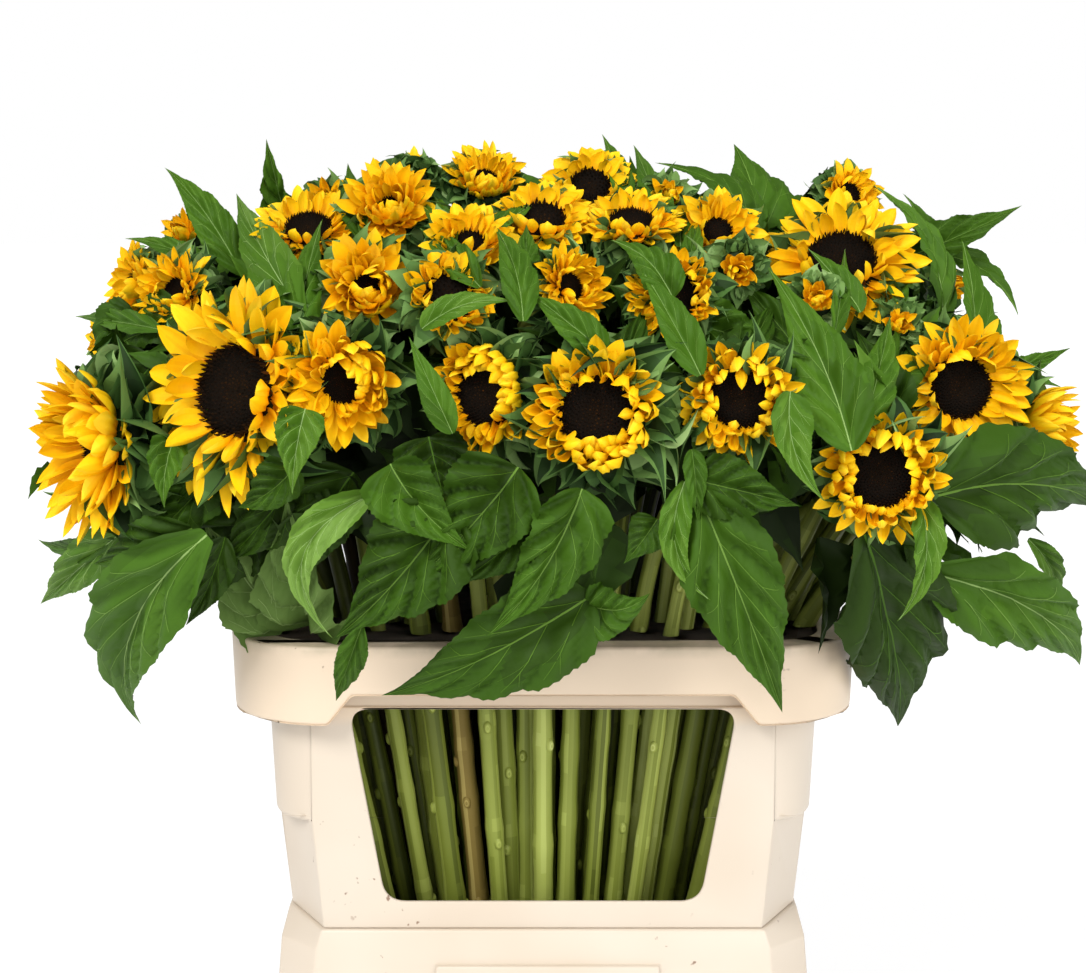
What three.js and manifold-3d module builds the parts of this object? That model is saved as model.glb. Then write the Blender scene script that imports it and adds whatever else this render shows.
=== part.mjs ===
// A bunch of cut sunflowers standing in a plastic flower container.
//
// The container is two mouldings: a tapered bucket, and a collar with one
// window that sits on the bucket and holds the stems upright.  Every stem
// stands on the bucket floor, fans out through the collar and ends at the back
// of its own bloom.  Leaves and bracts fill the room between the blooms as
// masses that are cut round the stems and the blooms.
//
// Millimetres, +Z up, origin at the middle of the bucket's flat underside,
// window towards -Y.

import * as THREE from 'three';
import { mergeVertices } from 'three/addons/utils/BufferGeometryUtils.js';
import Module from 'manifold-3d';

const wasm = await Module();
wasm.setup();

// ---- driving dimensions -------------------------------------------------

const SEAT = 0.3;                 // gap between pieces that touch

// Container heights
const FLOOR = 4;                  // top of the bucket floor
const STEP = 144;                 // ledge between the bucket's body and skirt
const SHOULDER = 187;             // top of the bucket's skirt
const JOINT = 200;                // bottom edge of the collar
const TIER = 270;                 // foot of the collar's round corners
const BAND = 338;                 // lower edge of the collar's outer band
const RIM = 388;                  // top of the collar
const WALL = 3;

// Half sizes of the container in plan: [x, y]
const FOOT_HALF = [152, 112];
const STEP_HALF = [160.5, 123];
const SKIRT_HALF = [173, 134];
const SHOULDER_HALF = [169.5, 131.5];
const JOINT_HALF = [165.5, 127];
const TIER_HALF = [172.5, 129.5];
const BODY_TOP_HALF = [177.5, 132];
const BAND_HALF = [200, 150];

const JOINT_CUT = [26, 50];       // the long corner cut low on the collar
const BUCKET_CUT = [25, 25];
const BODY_RADIUS = 38;
const BAND_RADIUS = 66;
const BAND_DRAFT = 1.5;
const LIP_RISE = 6;               // the bucket's lip inside the collar
const LIP_CLEARANCE = 1;

// Window and the notch of the band above it
const WINDOW = { low: 218, high: 344, halfLow: 100, halfHigh: 121.5, radius: 11 };
const NOTCH = { high: 357, halfLow: 135, halfHigh: 118 };

// The crown of blooms is a flattened dome
const DOME = { centre: 470, x: 335, y: 245, z: 205 };

// Blooms: name, across, height, width, turn to the right and tilt up in
// degrees, and how far the bloom is set back from the dome
const BLOOMS = [
  ['left_end', -280, 505, 106, -48, 0, 0],
  ['front_left', -181, 549, 122, -35, 10, 0],
  ['front_left_inner', -107, 550, 66, 18, 0, 54],
  ['front_middle_left', -33, 549, 76, -30, 5, 26],
  ['front_middle', 31, 539, 87, -8, 0, 0],
  ['front_middle_right', 113, 547, 66, 0, 0, 0],
  ['front_right', 197, 501, 74, -8, 5, 0],
  ['front_right_outer', 256, 546, 86, 12, 5, 0],
  ['right_end', 314, 512, 82, 60, 0, 0],
  ['upper_right', 187, 622, 96, -5, 38, 0],
  ['upper_middle_right', 77, 604, 58, 0, 20, 0],
  ['upper_middle', 54, 646, 62, 0, 55, 0],
  ['upper_middle_left', 16, 609, 54, 40, 15, 4],
  ['top', -38, 672, 56, 10, 35, 0],
  ['upper_left', -148, 642, 66, 0, 50, 0],
  ['upper_left_outer', -232, 602, 58, -30, 10, 0],
];

// The far side carries one row of larger blooms in two heights
const BACK_BLOOMS = 7;
const BACK_SPAN = 245;
const BACK_HEIGHTS = [528, 604];
const BACK_WIDTHS = [98, 82];
const BACK_TILTS = [4, 28];

const BLOOM_SIDES = 7;
const STEM_SIDES = 6;
const BEND_STEPS = 4;               // in the stretch of a stem above the rim
const FOOT_SPREAD = 0.22;         // plan of the feet as a share of the crown
const RIM_SPREAD = 0.47;          // and of the stems where they pass the rim

// Hanging and rising leaves that make the outline: name of the mass that
// carries it, where it starts, its tip, and its width
const LEAVES = [
  ['front_middle', [24, -180, 482], [-96, -168, 351], 66],
  ['front_left', [-76, -180, 494], [-122, -184, 400], 56],
  ['front_left', [-126, -168, 486], [-123, -166, 357], 36],
  ['left', [-212, -104, 484], [-251, -142, 341], 66],
  ['left', [-240, -60, 478], [-325, -80, 404], 52],
  ['front_right', [118, -176, 494], [146, -168, 352], 60],
  ['front_right', [176, -150, 482], [214, -152, 328], 64],
  ['right', [262, -46, 490], [352, -60, 463], 62],
  ['right', [256, -60, 462], [348, -82, 363], 60],
  ['back_right', [158, 158, 480], [196, 178, 352], 64],
  ['back_middle', [20, 190, 480], [62, 182, 356], 64],
  ['back_left', [-108, 172, 480], [-92, 180, 372], 56],
  ['back_left', [-178, 140, 480], [-208, 166, 346], 66],
  ['left', [-255, 70, 480], [-328, 96, 398], 58],
  ['right', [254, 76, 480], [336, 96, 392], 60],
  ['top_left', [-172, -6, 640], [-181, -18, 703], 34],
  ['top_left', [-215, -30, 600], [-243, -34, 678], 30],
  ['top_right', [126, -10, 640], [128, -20, 694], 46],
  ['top_middle_right', [46, 40, 640], [42, 36, 698], 30],
  ['top_right', [246, 10, 596], [318, 2, 652], 40],
];
const LEAF_THICKNESS = 7;
const LEAF_STATIONS = 3;

// The masses of foliage: lower ring by bearing (degrees from +X), then the
// cap above it by its span across
const CAP_FOOT = 578;
const RING_MASSES = [
  ['right', -32, 26, 1.0],
  ['back_right', 26, 68, 0.96],
  ['back_middle', 68, 110, 0.98],
  ['back_left', 110, 154, 0.95],
  ['left', 154, 212, 1.0],
  ['front_left', 212, 250, 0.95],
  ['front_middle', 250, 291, 0.93],
  ['front_right', 291, 328, 0.96],
];
const CAP_MASSES = [
  ['top_left', -400, -120, 1.0],
  ['top_middle_left', -120, -4, 1.03],
  ['top_middle_right', -4, 112, 1.01],
  ['top_right', 112, 400, 1.0],
];
const MASS = { centre: 500, x: 312, y: 222, up: 176, down: 92, fullness: 2.5 };
const MASS_DETAIL = 3;
const CORE_SIDES = 8;
const LUMP = 0.075;
const CORE_SHARE = 0.66;          // plan of the bare room inside, where only stems are
const CORE_RISE = 0.80;           // and its height

// ---- materials ----------------------------------------------------------

const plain = (color, roughness) =>
  new THREE.MeshStandardMaterial({ color, roughness, metalness: 0 });
const CREAM_PLASTIC = plain(0xf3e0cb, 0.45);
const STEM_GREEN = plain(0x6f8f35, 0.6);
const BLOOM_YELLOW = plain(0xf7b916, 0.6);
const LEAF_GREEN = plain(0x2f6b2a, 0.55);

// ---- solids -------------------------------------------------------------

const object = new THREE.Group();

function addPiece(name, solid, material) {
  const geometry = solid.isBufferGeometry ? solid : geometryOf(solid);
  const mesh = new THREE.Mesh(geometry, material.clone());
  mesh.name = name;
  object.add(mesh);
}

function solidOf(geometry) {
  const bare = geometry.clone();
  bare.deleteAttribute('normal');
  bare.deleteAttribute('uv');
  const merged = mergeVertices(bare, 1e-4);
  return new wasm.Manifold(new wasm.Mesh({
    numProp: 3,
    vertProperties: new Float32Array(merged.attributes.position.array),
    triVerts: new Uint32Array(merged.index.array),
  }));
}

function geometryOf(solid) {
  const { vertProperties, triVerts } = solid.getMesh();
  return meshOf(vertProperties, largestShell(triVerts, vertProperties));
}

function meshOf(positions, triangles) {
  const geometry = new THREE.BufferGeometry();
  geometry.setAttribute('position', new THREE.BufferAttribute(new Float32Array(positions), 3));
  geometry.setIndex(Array.from(triangles));
  return geometry;
}

// The triangles of the biggest connected shell; crumbs of a cut are left out
function largestShell(triangles, positions) {
  const parent = Array.from({ length: positions.length / 3 }, (_, i) => i);
  const root = (i) => {
    while (parent[i] !== i) i = parent[i] = parent[parent[i]];
    return i;
  };
  for (let t = 0; t < triangles.length; t += 3) {
    parent[root(triangles[t + 1])] = root(triangles[t]);
    parent[root(triangles[t + 2])] = root(triangles[t]);
  }
  const volumes = new Map();
  const [a, b, c] = [new THREE.Vector3(), new THREE.Vector3(), new THREE.Vector3()];
  for (let t = 0; t < triangles.length; t += 3) {
    a.fromArray(positions, 3 * triangles[t]);
    b.fromArray(positions, 3 * triangles[t + 1]);
    c.fromArray(positions, 3 * triangles[t + 2]);
    const shell = root(triangles[t]);
    volumes.set(shell, (volumes.get(shell) ?? 0) + a.dot(b.cross(c)) / 6);
  }
  const [biggest] = [...volumes].reduce((best, next) => (next[1] > best[1] ? next : best));
  const kept = [];
  for (let t = 0; t < triangles.length; t += 3) {
    if (root(triangles[t]) === biggest) kept.push(...triangles.slice(t, t + 3));
  }
  return kept;
}

// A closed body through rings of equally many points, listed anticlockwise as
// seen from the last ring
function loft(rings) {
  const count = rings[0].length;
  const positions = rings.flat().flatMap((p) => [p.x, p.y, p.z]);
  const triangles = [];
  for (let r = 0; r + 1 < rings.length; r++) {
    for (let i = 0; i < count; i++) {
      const j = (i + 1) % count;
      const [low, high] = [r * count, (r + 1) * count];
      triangles.push(low + i, low + j, high + j, low + i, high + j, high + i);
    }
  }
  const last = (rings.length - 1) * count;
  for (let i = 1; i + 1 < count; i++) {
    triangles.push(0, i + 1, i, last, last + i, last + i + 1);
  }
  return meshOf(positions, triangles);
}

const vector = (x, y, z) => new THREE.Vector3(x, y, z);

// ---- container ----------------------------------------------------------

function roundedRing([halfX, halfY], radius, z, steps = 3) {
  const corners = [[1, -1, -90], [1, 1, 0], [-1, 1, 90], [-1, -1, 180]];
  return corners.flatMap(([sx, sy, start]) =>
    Array.from({ length: steps + 1 }, (_, i) => {
      const angle = THREE.MathUtils.degToRad(start + (90 * i) / steps);
      return vector(
        sx * (halfX - radius) + radius * Math.cos(angle),
        sy * (halfY - radius) + radius * Math.sin(angle),
        z,
      );
    }));
}

function cutRing([halfX, halfY], [cutX, cutY], z) {
  const corner = [
    [halfX - cutX, -halfY], [halfX, cutY - halfY],
    [halfX, halfY - cutY], [halfX - cutX, halfY],
  ];
  const turned = corner.map(([x, y]) => [-x, -y]);
  return [...corner, ...turned].map(([x, y]) => vector(x, y, z));
}

const inset = ([x, y], by) => [x - by, y - by];

function buildBucket() {
  const outer = solidOf(loft([
    cutRing(FOOT_HALF, BUCKET_CUT, 0),
    cutRing(STEP_HALF, BUCKET_CUT, STEP - 2),
    cutRing(SKIRT_HALF, BUCKET_CUT, STEP),
    cutRing(SHOULDER_HALF, BUCKET_CUT, SHOULDER),
    cutRing([JOINT_HALF[0] + 1.5, JOINT_HALF[1] + 2], JOINT_CUT, JOINT - SEAT),
  ]));
  const lipHalf = inset(JOINT_HALF, WALL + LIP_CLEARANCE);
  const lip = solidOf(loft([
    cutRing(lipHalf, JOINT_CUT, JOINT - 3),
    cutRing(lipHalf, JOINT_CUT, JOINT + LIP_RISE),
  ]));
  const hollow = solidOf(loft([
    cutRing(inset(FOOT_HALF, WALL + 1), BUCKET_CUT, FLOOR),
    cutRing(inset(STEP_HALF, WALL + 1), BUCKET_CUT, STEP + WALL),
    cutRing(inset(SKIRT_HALF, WALL + 1), BUCKET_CUT, STEP + 2 * WALL),
    cutRing(inset(SHOULDER_HALF, WALL + 1), BUCKET_CUT, SHOULDER - 2),
    cutRing(inset(lipHalf, WALL), JOINT_CUT, JOINT - 4),
    cutRing(inset(lipHalf, WALL), JOINT_CUT, JOINT + LIP_RISE + 1),
  ]));
  return outer.add(lip).subtract(hollow);
}

function windowPrism() {
  const { low, high, halfLow, halfHigh, radius } = WINDOW;
  const corners = [[-halfLow, low], [halfLow, low], [halfHigh, high], [-halfHigh, high]]
    .map(([x, z]) => new THREE.Vector2(x, z));
  const outline = corners.flatMap((corner, i) => {
    const before = corners[(i + 3) % 4].clone().sub(corner).setLength(radius);
    const after = corners[(i + 1) % 4].clone().sub(corner).setLength(radius);
    const curve = new THREE.QuadraticBezierCurve(
      corner.clone().add(before), corner, corner.clone().add(after));
    return curve.getPoints(4);
  });
  return acrossPrism(outline.map((p) => [p.x, p.y]));
}

// A prism through the front wall only, from an outline of [x, z]
function acrossPrism(outline) {
  const near = outline.map(([x, z]) => vector(x, -BAND_HALF[1] - 20, z));
  const far = outline.map(([x, z]) => vector(x, -60, z));
  return solidOf(loft([far, near]));
}

function buildCollar() {
  const bandFoot = inset(BAND_HALF, BAND_DRAFT);
  const band = solidOf(loft([
    roundedRing(bandFoot, BAND_RADIUS, BAND),
    roundedRing(BAND_HALF, BAND_RADIUS, RIM),
  ])).subtract(solidOf(loft([
    roundedRing(inset(bandFoot, WALL), BAND_RADIUS - WALL, BAND - 1),
    roundedRing(inset(BAND_HALF, WALL), BAND_RADIUS - WALL, RIM - WALL),
  ])));
  const { high, halfLow, halfHigh } = NOTCH;
  const slope = (halfLow - halfHigh) / (high - BAND);
  const notch = acrossPrism([
    [-halfLow - 5 * slope, BAND - 5], [halfLow + 5 * slope, BAND - 5],
    [halfHigh, high], [-halfHigh, high],
  ]);
  const body = solidOf(loft([
    roundedRing(TIER_HALF, BODY_RADIUS, TIER),
    roundedRing(BODY_TOP_HALF, BODY_RADIUS, RIM - 0.5),
  ])).add(solidOf(loft([
    cutRing(JOINT_HALF, JOINT_CUT, JOINT),
    cutRing([TIER_HALF[0] - 1, TIER_HALF[1] - 0.2], JOINT_CUT, TIER + 1),
  ])));
  const hollow = solidOf(loft([
    cutRing(inset(JOINT_HALF, WALL), JOINT_CUT, JOINT - 1),
    cutRing(inset([TIER_HALF[0] - 1, TIER_HALF[1] - 0.2], WALL), JOINT_CUT, TIER + WALL + 1),
  ])).add(solidOf(loft([
    roundedRing(inset(TIER_HALF, WALL), BODY_RADIUS - WALL, TIER + WALL),
    roundedRing(inset(BODY_TOP_HALF, WALL), BODY_RADIUS - WALL, RIM + 1),
  ])));
  return band.subtract(notch).add(body).subtract(hollow).subtract(windowPrism());
}

// ---- blooms and stems ---------------------------------------------------

function facing(turn, tilt) {
  const [t, u] = [turn, tilt].map(THREE.MathUtils.degToRad);
  return vector(Math.sin(t) * Math.cos(u), -Math.cos(t) * Math.cos(u), Math.sin(u));
}

function domeDepth(across, height) {
  const rest = 1 - (across / DOME.x) ** 2 - ((height - DOME.centre) / DOME.z) ** 2;
  return DOME.y * Math.sqrt(Math.max(rest, 0));
}

function frontBlooms() {
  return BLOOMS.map(([name, across, height, width, turn, tilt, back]) => ({
    name,
    width,
    axis: facing(turn, tilt),
    centre: vector(across, back - domeDepth(across, height), height),
  }));
}

function backBlooms() {
  return Array.from({ length: BACK_BLOOMS }, (_, i) => {
    const across = BACK_SPAN * ((2 * i) / (BACK_BLOOMS - 1) - 1);
    const row = i % 2;
    const height = BACK_HEIGHTS[row] - 14 * Math.sin(2.3 * i);
    return {
      name: `back_${i + 1}`,
      width: BACK_WIDTHS[row] - 6 * Math.cos(1.7 * i),
      axis: facing(180 - (58 * across) / BACK_SPAN, BACK_TILTS[row]),
      centre: vector(across, domeDepth(across, height), height),
    };
  });
}

const NECK = 0.42;                // depth of a bloom behind its face, by width

// A bloom: a cup of bracts that widens to the petals and a flat face, turned
// about its axis.  grow widens it evenly, and front adds a plug before its face.
function bloomBody({ centre, axis, width }, grow = 0, front = 0) {
  const profile = [[0.14, -NECK, -grow], [0.47, -0.08, 0], [0.45, 0.03, grow]];
  const turned = new THREE.Quaternion().setFromUnitVectors(vector(0, 0, 1), axis);
  const rings = profile.map(([r, h, shift]) =>
    ringAt(centre, turned, r * width + grow, h * width + shift));
  if (front > 0) rings.push(ringAt(centre, turned, 0.5 * width, front));
  return loft(rings);
}

function ringAt(centre, turned, radius, height) {
  return Array.from({ length: BLOOM_SIDES }, (_, i) => {
    const angle = (2 * Math.PI * i) / BLOOM_SIDES;
    return vector(radius * Math.cos(angle), radius * Math.sin(angle), height)
      .applyQuaternion(turned)
      .add(centre);
  });
}

const stemRadius = (width) => 4.6 + 0.036 * width;

// Pushes points in plan apart until the stems they stand for clear each other
function spreadOut(points, radii, limit) {
  for (let round = 0; round < 400; round++) {
    for (let i = 0; i < points.length; i++) {
      for (let j = 0; j < i; j++) {
        const apart = points[i].clone().sub(points[j]);
        const lack = radii[i] + radii[j] + 2.2 - apart.length();
        if (lack <= 0) continue;
        apart.setLength(lack / 2);
        points[i].add(apart);
        points[j].sub(apart);
      }
      points[i].x = THREE.MathUtils.clamp(points[i].x, -limit[0], limit[0]);
      points[i].y = THREE.MathUtils.clamp(points[i].y, -limit[1], limit[1]);
    }
  }
  return points;
}

function stemCurves(blooms) {
  const radii = blooms.map(({ width }) => stemRadius(width));
  const plan = (share) => blooms.map(({ centre, axis, width }) => {
    const back = centre.clone().addScaledVector(axis, -NECK * width);
    return new THREE.Vector2(back.x, back.y).multiplyScalar(share);
  });
  const feet = spreadOut(plan(FOOT_SPREAD * 1.15), radii, [130, 92]);
  const rims = spreadOut(plan(RIM_SPREAD * 1.15), radii, [158, 114]);
  return blooms.map((bloom, i) => {
    const back = bloom.centre.clone().addScaledVector(bloom.axis, -NECK * bloom.width - SEAT);
    const foot = vector(feet[i].x, feet[i].y, FLOOR + SEAT);
    const rim = vector(rims[i].x, rims[i].y, RIM);
    const rise = back.z - RIM;
    const lean = rim.clone().sub(foot).normalize();
    const bend = new THREE.CubicBezierCurve3(
      rim,
      rim.clone().addScaledVector(lean, 0.5 * rise),
      back.clone().addScaledVector(bloom.axis, -0.35 * rise),
      back,
    );
    const path = new THREE.CurvePath();
    path.add(new THREE.LineCurve3(foot, rim));
    path.add(bend);
    return { path, radius: radii[i] };
  });
}

// A tapering stem with its foot cut level and its top square to its bloom
function stemBody({ path, radius }, grow = 0) {
  const lengths = path.getCurveLengths();
  const straight = lengths[0] / lengths[1];
  const marks = [0, straight];
  for (let i = 1; i <= BEND_STEPS; i++) marks.push(straight + ((1 - straight) * i) / BEND_STEPS);
  const tangents = marks.map((u) => path.getTangentAt(u));
  const side = vector(1, 0, 0);
  const rings = marks.map((u, k) => {
    const along = k === 0 ? vector(0, 0, 1) : tangents[k];
    side.addScaledVector(along, -side.dot(along)).normalize();
    const up = along.clone().cross(side);
    const size = radius * (1 - 0.25 * u) + grow;
    const at = path.getPointAt(u);
    if (k === marks.length - 1) at.addScaledVector(along, grow);
    return Array.from({ length: STEM_SIDES }, (_, i) => {
      const angle = (2 * Math.PI * i) / STEM_SIDES;
      return at.clone()
        .addScaledVector(side, size * Math.cos(angle))
        .addScaledVector(up, size * Math.sin(angle));
    });
  });
  return loft(rings);
}

// ---- foliage ------------------------------------------------------------

// A thick leaf blade from its start to its tip, bowed outwards
function leafBody([, start, tip, width], grow = 0) {
  const [from, to] = [vector(...start), vector(...tip)];
  const along = to.clone().sub(from);
  const outward = vector(from.x + to.x, from.y + to.y, 0).normalize();
  outward.addScaledVector(along, -outward.dot(along) / along.lengthSq()).normalize();
  const side = along.clone().normalize().cross(outward);
  const rings = Array.from({ length: LEAF_STATIONS + 2 }, (_, k) => {
    const u = k / (LEAF_STATIONS + 1);
    const half = Math.max((width / 2) * Math.sin(Math.PI * u ** 0.75), 1.2) + grow;
    const thick = (LEAF_THICKNESS / 2) * (1 - 0.6 * u) + grow;
    const middle = from.clone().addScaledVector(along, u)
      .addScaledVector(outward, 0.16 * along.length() * Math.sin(Math.PI * u));
    return [[half, 0], [0, thick], [-half, 0], [0, -thick]].map(([s, o]) =>
      middle.clone().addScaledVector(side, s).addScaledVector(outward, o));
  });
  return loft(rings.map((ring) => ring.reverse()));
}

// The dome of foliage under the blooms, swollen and dented by waves that
// differ from mass to mass
function lumpyDome(phase, scale) {
  const geometry = new THREE.IcosahedronGeometry(1, MASS_DETAIL);
  const at = geometry.attributes.position;
  const p = new THREE.Vector3();
  for (let i = 0; i < at.count; i++) {
    p.fromBufferAttribute(at, i).normalize();
    const height = p.z > 0 ? MASS.up : MASS.down;
    const shares = [p.x / MASS.x, p.y / MASS.y, p.z / height].map(Math.abs);
    const reach = shares.reduce((sum, a) => sum + a ** MASS.fullness, 0) ** (-1 / MASS.fullness);
    const wave = Math.sin(7 * p.x + phase) + Math.sin(8 * p.y + 2 * phase) +
      Math.sin(9 * p.z + 3 * phase);
    p.multiplyScalar(reach * scale * (1 + LUMP * (wave / 1.5)));
    at.setXYZ(i, p.x, p.y, p.z + MASS.centre);
  }
  return solidOf(geometry);
}

// The room inside the crown where only the bare stems pass, open below
function coreRoom() {
  const levels = [[-3, 1], [0, 1], [0.5, 0.87], [0.85, 0.53], [1, 0.12]];
  return solidOf(loft(levels.map(([rise, share]) =>
    Array.from({ length: CORE_SIDES }, (_, i) => {
      const angle = (2 * Math.PI * (i + 0.5)) / CORE_SIDES;
      return vector(
        CORE_SHARE * share * MASS.x * Math.cos(angle),
        CORE_SHARE * share * MASS.y * Math.sin(angle),
        MASS.centre + CORE_RISE * rise * MASS.up,
      );
    }))));
}

function boxBetween(lowX, highX, lowZ, highZ) {
  const box = new THREE.BoxGeometry(highX - lowX, 1200, highZ - lowZ);
  box.translate((lowX + highX) / 2, 0, (lowZ + highZ) / 2);
  return solidOf(box);
}

// The room between two bearings, below the cap
function wedge(fromDegrees, toDegrees) {
  const [a, b] = [fromDegrees, toDegrees].map(THREE.MathUtils.degToRad);
  const middle = (a + b) / 2;
  const shift = SEAT / 2 / Math.sin((b - a) / 2);
  const apex = [shift * Math.cos(middle), shift * Math.sin(middle)];
  const plan = [[0, 0], [900 * Math.cos(a), 900 * Math.sin(a)],
    [900 * Math.cos(b), 900 * Math.sin(b)]];
  const ring = (z) => plan.map(([x, y]) => vector(x + apex[0], y + apex[1], z));
  return solidOf(loft([ring(0), ring(CAP_FOOT - SEAT / 2)]));
}

function buildFoliage(blooms, stems) {
  const cutters = [
    ...stems.map((stem) => solidOf(stemBody(stem, 2 * SEAT))),
    ...blooms.map((bloom) => solidOf(bloomBody(bloom, SEAT, 45))),
  ];
  const clearOfCollar = solidOf(loft([
    roundedRing(BAND_HALF.map((half) => half + 1), BAND_RADIUS, 0),
    roundedRing(BAND_HALF.map((half) => half + 1), BAND_RADIUS, RIM + SEAT),
  ]));
  const core = coreRoom();
  const regions = [
    ...RING_MASSES.map(([name, from, to, scale]) => ({ name, scale, room: wedge(from, to) })),
    ...CAP_MASSES.map(([name, low, high, scale]) => ({
      name,
      scale,
      room: boxBetween(low + SEAT / 2, high - SEAT / 2, CAP_FOOT + SEAT / 2, 900),
    })),
  ];
  regions.forEach(({ name, scale, room }, index) => {
    let mass = lumpyDome(1.9 * index, scale).intersect(room).subtract(core);
    for (const leaf of LEAVES) {
      if (leaf[0] !== name) mass = mass.subtract(solidOf(leafBody(leaf, SEAT)));
    }
    for (const leaf of LEAVES) {
      if (leaf[0] === name) mass = mass.add(solidOf(leafBody(leaf)));
    }
    for (const cutter of [...cutters, clearOfCollar]) mass = mass.subtract(cutter);
    addPiece(`foliage_${name}`, mass, LEAF_GREEN);
  });
}

// ---- the object ---------------------------------------------------------

addPiece('bucket', buildBucket(), CREAM_PLASTIC);
addPiece('collar', buildCollar(), CREAM_PLASTIC);

const blooms = [...frontBlooms(), ...backBlooms()];
const stems = stemCurves(blooms);
blooms.forEach((bloom, i) => {
  addPiece(`stem_${bloom.name}`, stemBody(stems[i]), STEM_GREEN);
  addPiece(`bloom_${bloom.name}`, bloomBody(bloom), BLOOM_YELLOW);
});
buildFoliage(blooms, stems);

export default object;
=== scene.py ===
"""A bunch of cut sunflowers standing in a cream plastic flower container.

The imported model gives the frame: origin in the middle of the bucket's flat
underside, +X to the right, -Y towards the viewer and +Z up.  Lengths are
millimetres until a mesh is made.  Plant shapes are grids of points computed
with numpy and joined into a few pieces; chance comes from one seeded generator.
"""
import math

import bmesh
import bpy
import numpy as np
from mathutils import Euler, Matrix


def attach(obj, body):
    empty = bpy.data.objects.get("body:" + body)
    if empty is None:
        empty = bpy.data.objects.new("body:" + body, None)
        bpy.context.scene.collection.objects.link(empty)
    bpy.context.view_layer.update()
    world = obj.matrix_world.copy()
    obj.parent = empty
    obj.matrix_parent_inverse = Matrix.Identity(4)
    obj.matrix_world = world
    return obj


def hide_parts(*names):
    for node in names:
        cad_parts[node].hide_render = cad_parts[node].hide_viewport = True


MM = 0.001
rng = np.random.default_rng(29)

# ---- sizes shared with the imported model

DOME = {"centre": 470, "x": 335, "y": 245, "z": 205}   # the crown of blooms
DOME_MIDDLE = [0, 0, DOME["centre"]]
DOME_HALF = np.array([DOME["x"], DOME["y"], DOME["z"]])
NECK = 0.42                # depth of a bloom behind its face, by width
RIM = 388                  # top of the container
FLOOR_OF_BUCKET = 4
WINDOW_LEVEL = 285         # about half way up the window
STEM_FAN = (0.55, 1.17)    # plan of the stems at the floor and rim by that at the window

# ---- colours (sRGB), each list from dark to light

PETALS = [0xA85602, 0xD48404, 0xEAA204, 0xF4B404, 0xF8C006, 0xFAC90C, 0xFDD32A]
GREENS = [0x0D1603, 0x182706, 0x243A08, 0x304C0C, 0x3C5F12, 0x4B701A, 0x658833, 0x81A052, 0x9DBA74]
UNDERSIDES = [0x435A24, 0x567034, 0x6E8849, 0x8BA265]
BRACTS = [0x0E190A, 0x1C2F12, 0x2F4A1F, 0x486A31, 0x6C8D49, 0x95B370]
STEMS = [0x171C05, 0x30380D, 0x4E5719, 0x757F30, 0x9BA550, 0xBAC274]
BROWN_STEMS = [0x171003, 0x352A0E, 0x594A1E, 0x817038, 0xA8985C]
DISCS = [0x080401, 0x150B04, 0x281807, 0x4A2B0C, 0x7F4A12]
STEPS = 16                 # materials in each ramp of colours
BROWN_EVERY = 13           # one stem in so many has gone brown
GOLDEN_ANGLE = 2.39996     # between one floret or leaf and the next, in radians


def split(code):
    """The red, green and blue bytes of a colour code."""
    return np.array([code >> 16, code >> 8 & 255, code & 255])


def linear(code):
    """An sRGB colour code as linear red, green, blue and opaque alpha."""
    parts = split(code) / 255
    value = np.where(parts <= 0.04045, parts / 12.92, ((parts + 0.055) / 1.055) ** 2.4)
    return (*value.tolist(), 1.0)


def paint(name, code, roughness, specular=0.5):
    """A plain material with one colour."""
    material = bpy.data.materials.new(name)
    material.use_nodes = True
    shader = material.node_tree.nodes["Principled BSDF"]
    shader.inputs["Base Color"].default_value = linear(code)
    shader.inputs["Roughness"].default_value = roughness
    shader.inputs["Specular IOR Level"].default_value = specular
    return material


def ramp(name, codes, roughness, specular):
    """Plain materials in even steps through a list of colours."""
    parts = np.array([split(code) for code in codes])
    at = np.linspace(0, len(codes) - 1, STEPS)
    levels = [np.interp(at, range(len(codes)), part).round().astype(int) for part in parts.T]
    return [paint(f"{name}_{i}", int(r << 16 | g << 8 | b), roughness, specular)
            for i, (r, g, b) in enumerate(zip(*levels))]


# ---- vectors

def unit(v):
    return v / np.maximum(np.linalg.norm(v, axis=-1, keepdims=True), 1e-9)


def bent(start, middle, end, t):
    """The point at share t along a curve that bends towards its middle point."""
    return (1 - t) ** 2 * start + 2 * t * (1 - t) * middle + t ** 2 * end


def dome_depth(across, height):
    rest = 1 - (across / DOME["x"]) ** 2 - ((height - DOME["centre"]) / DOME["z"]) ** 2
    return DOME["y"] * np.sqrt(np.maximum(rest, 0))


def dome_point(across, height, stand_off):
    """A point on the near side of the dome, or in front of it by stand_off."""
    across, height = np.asarray(across, float), np.asarray(height, float)
    depth = dome_depth(across, height) + stand_off
    return np.stack([across, -depth, height], axis=-1)


def dome_normal(points):
    return unit((points - DOME_MIDDLE) / DOME_HALF ** 2)


def facing(turn, tilt):
    """The direction turned to the right of the viewer and tilted up, in degrees."""
    t, u = math.radians(turn), math.radians(tilt)
    return np.array([math.sin(t) * math.cos(u), -math.cos(t) * math.cos(u), math.sin(u)])


def axes_of(axis):
    """Two directions square to a bloom's axis."""
    helper = np.array([0, 1, 0]) if abs(axis[2]) > 0.95 else np.array([0, 0, 1])
    side = unit(np.cross(helper, axis))
    return side, np.cross(axis, side)


# ---- pieces made of grids

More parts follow.
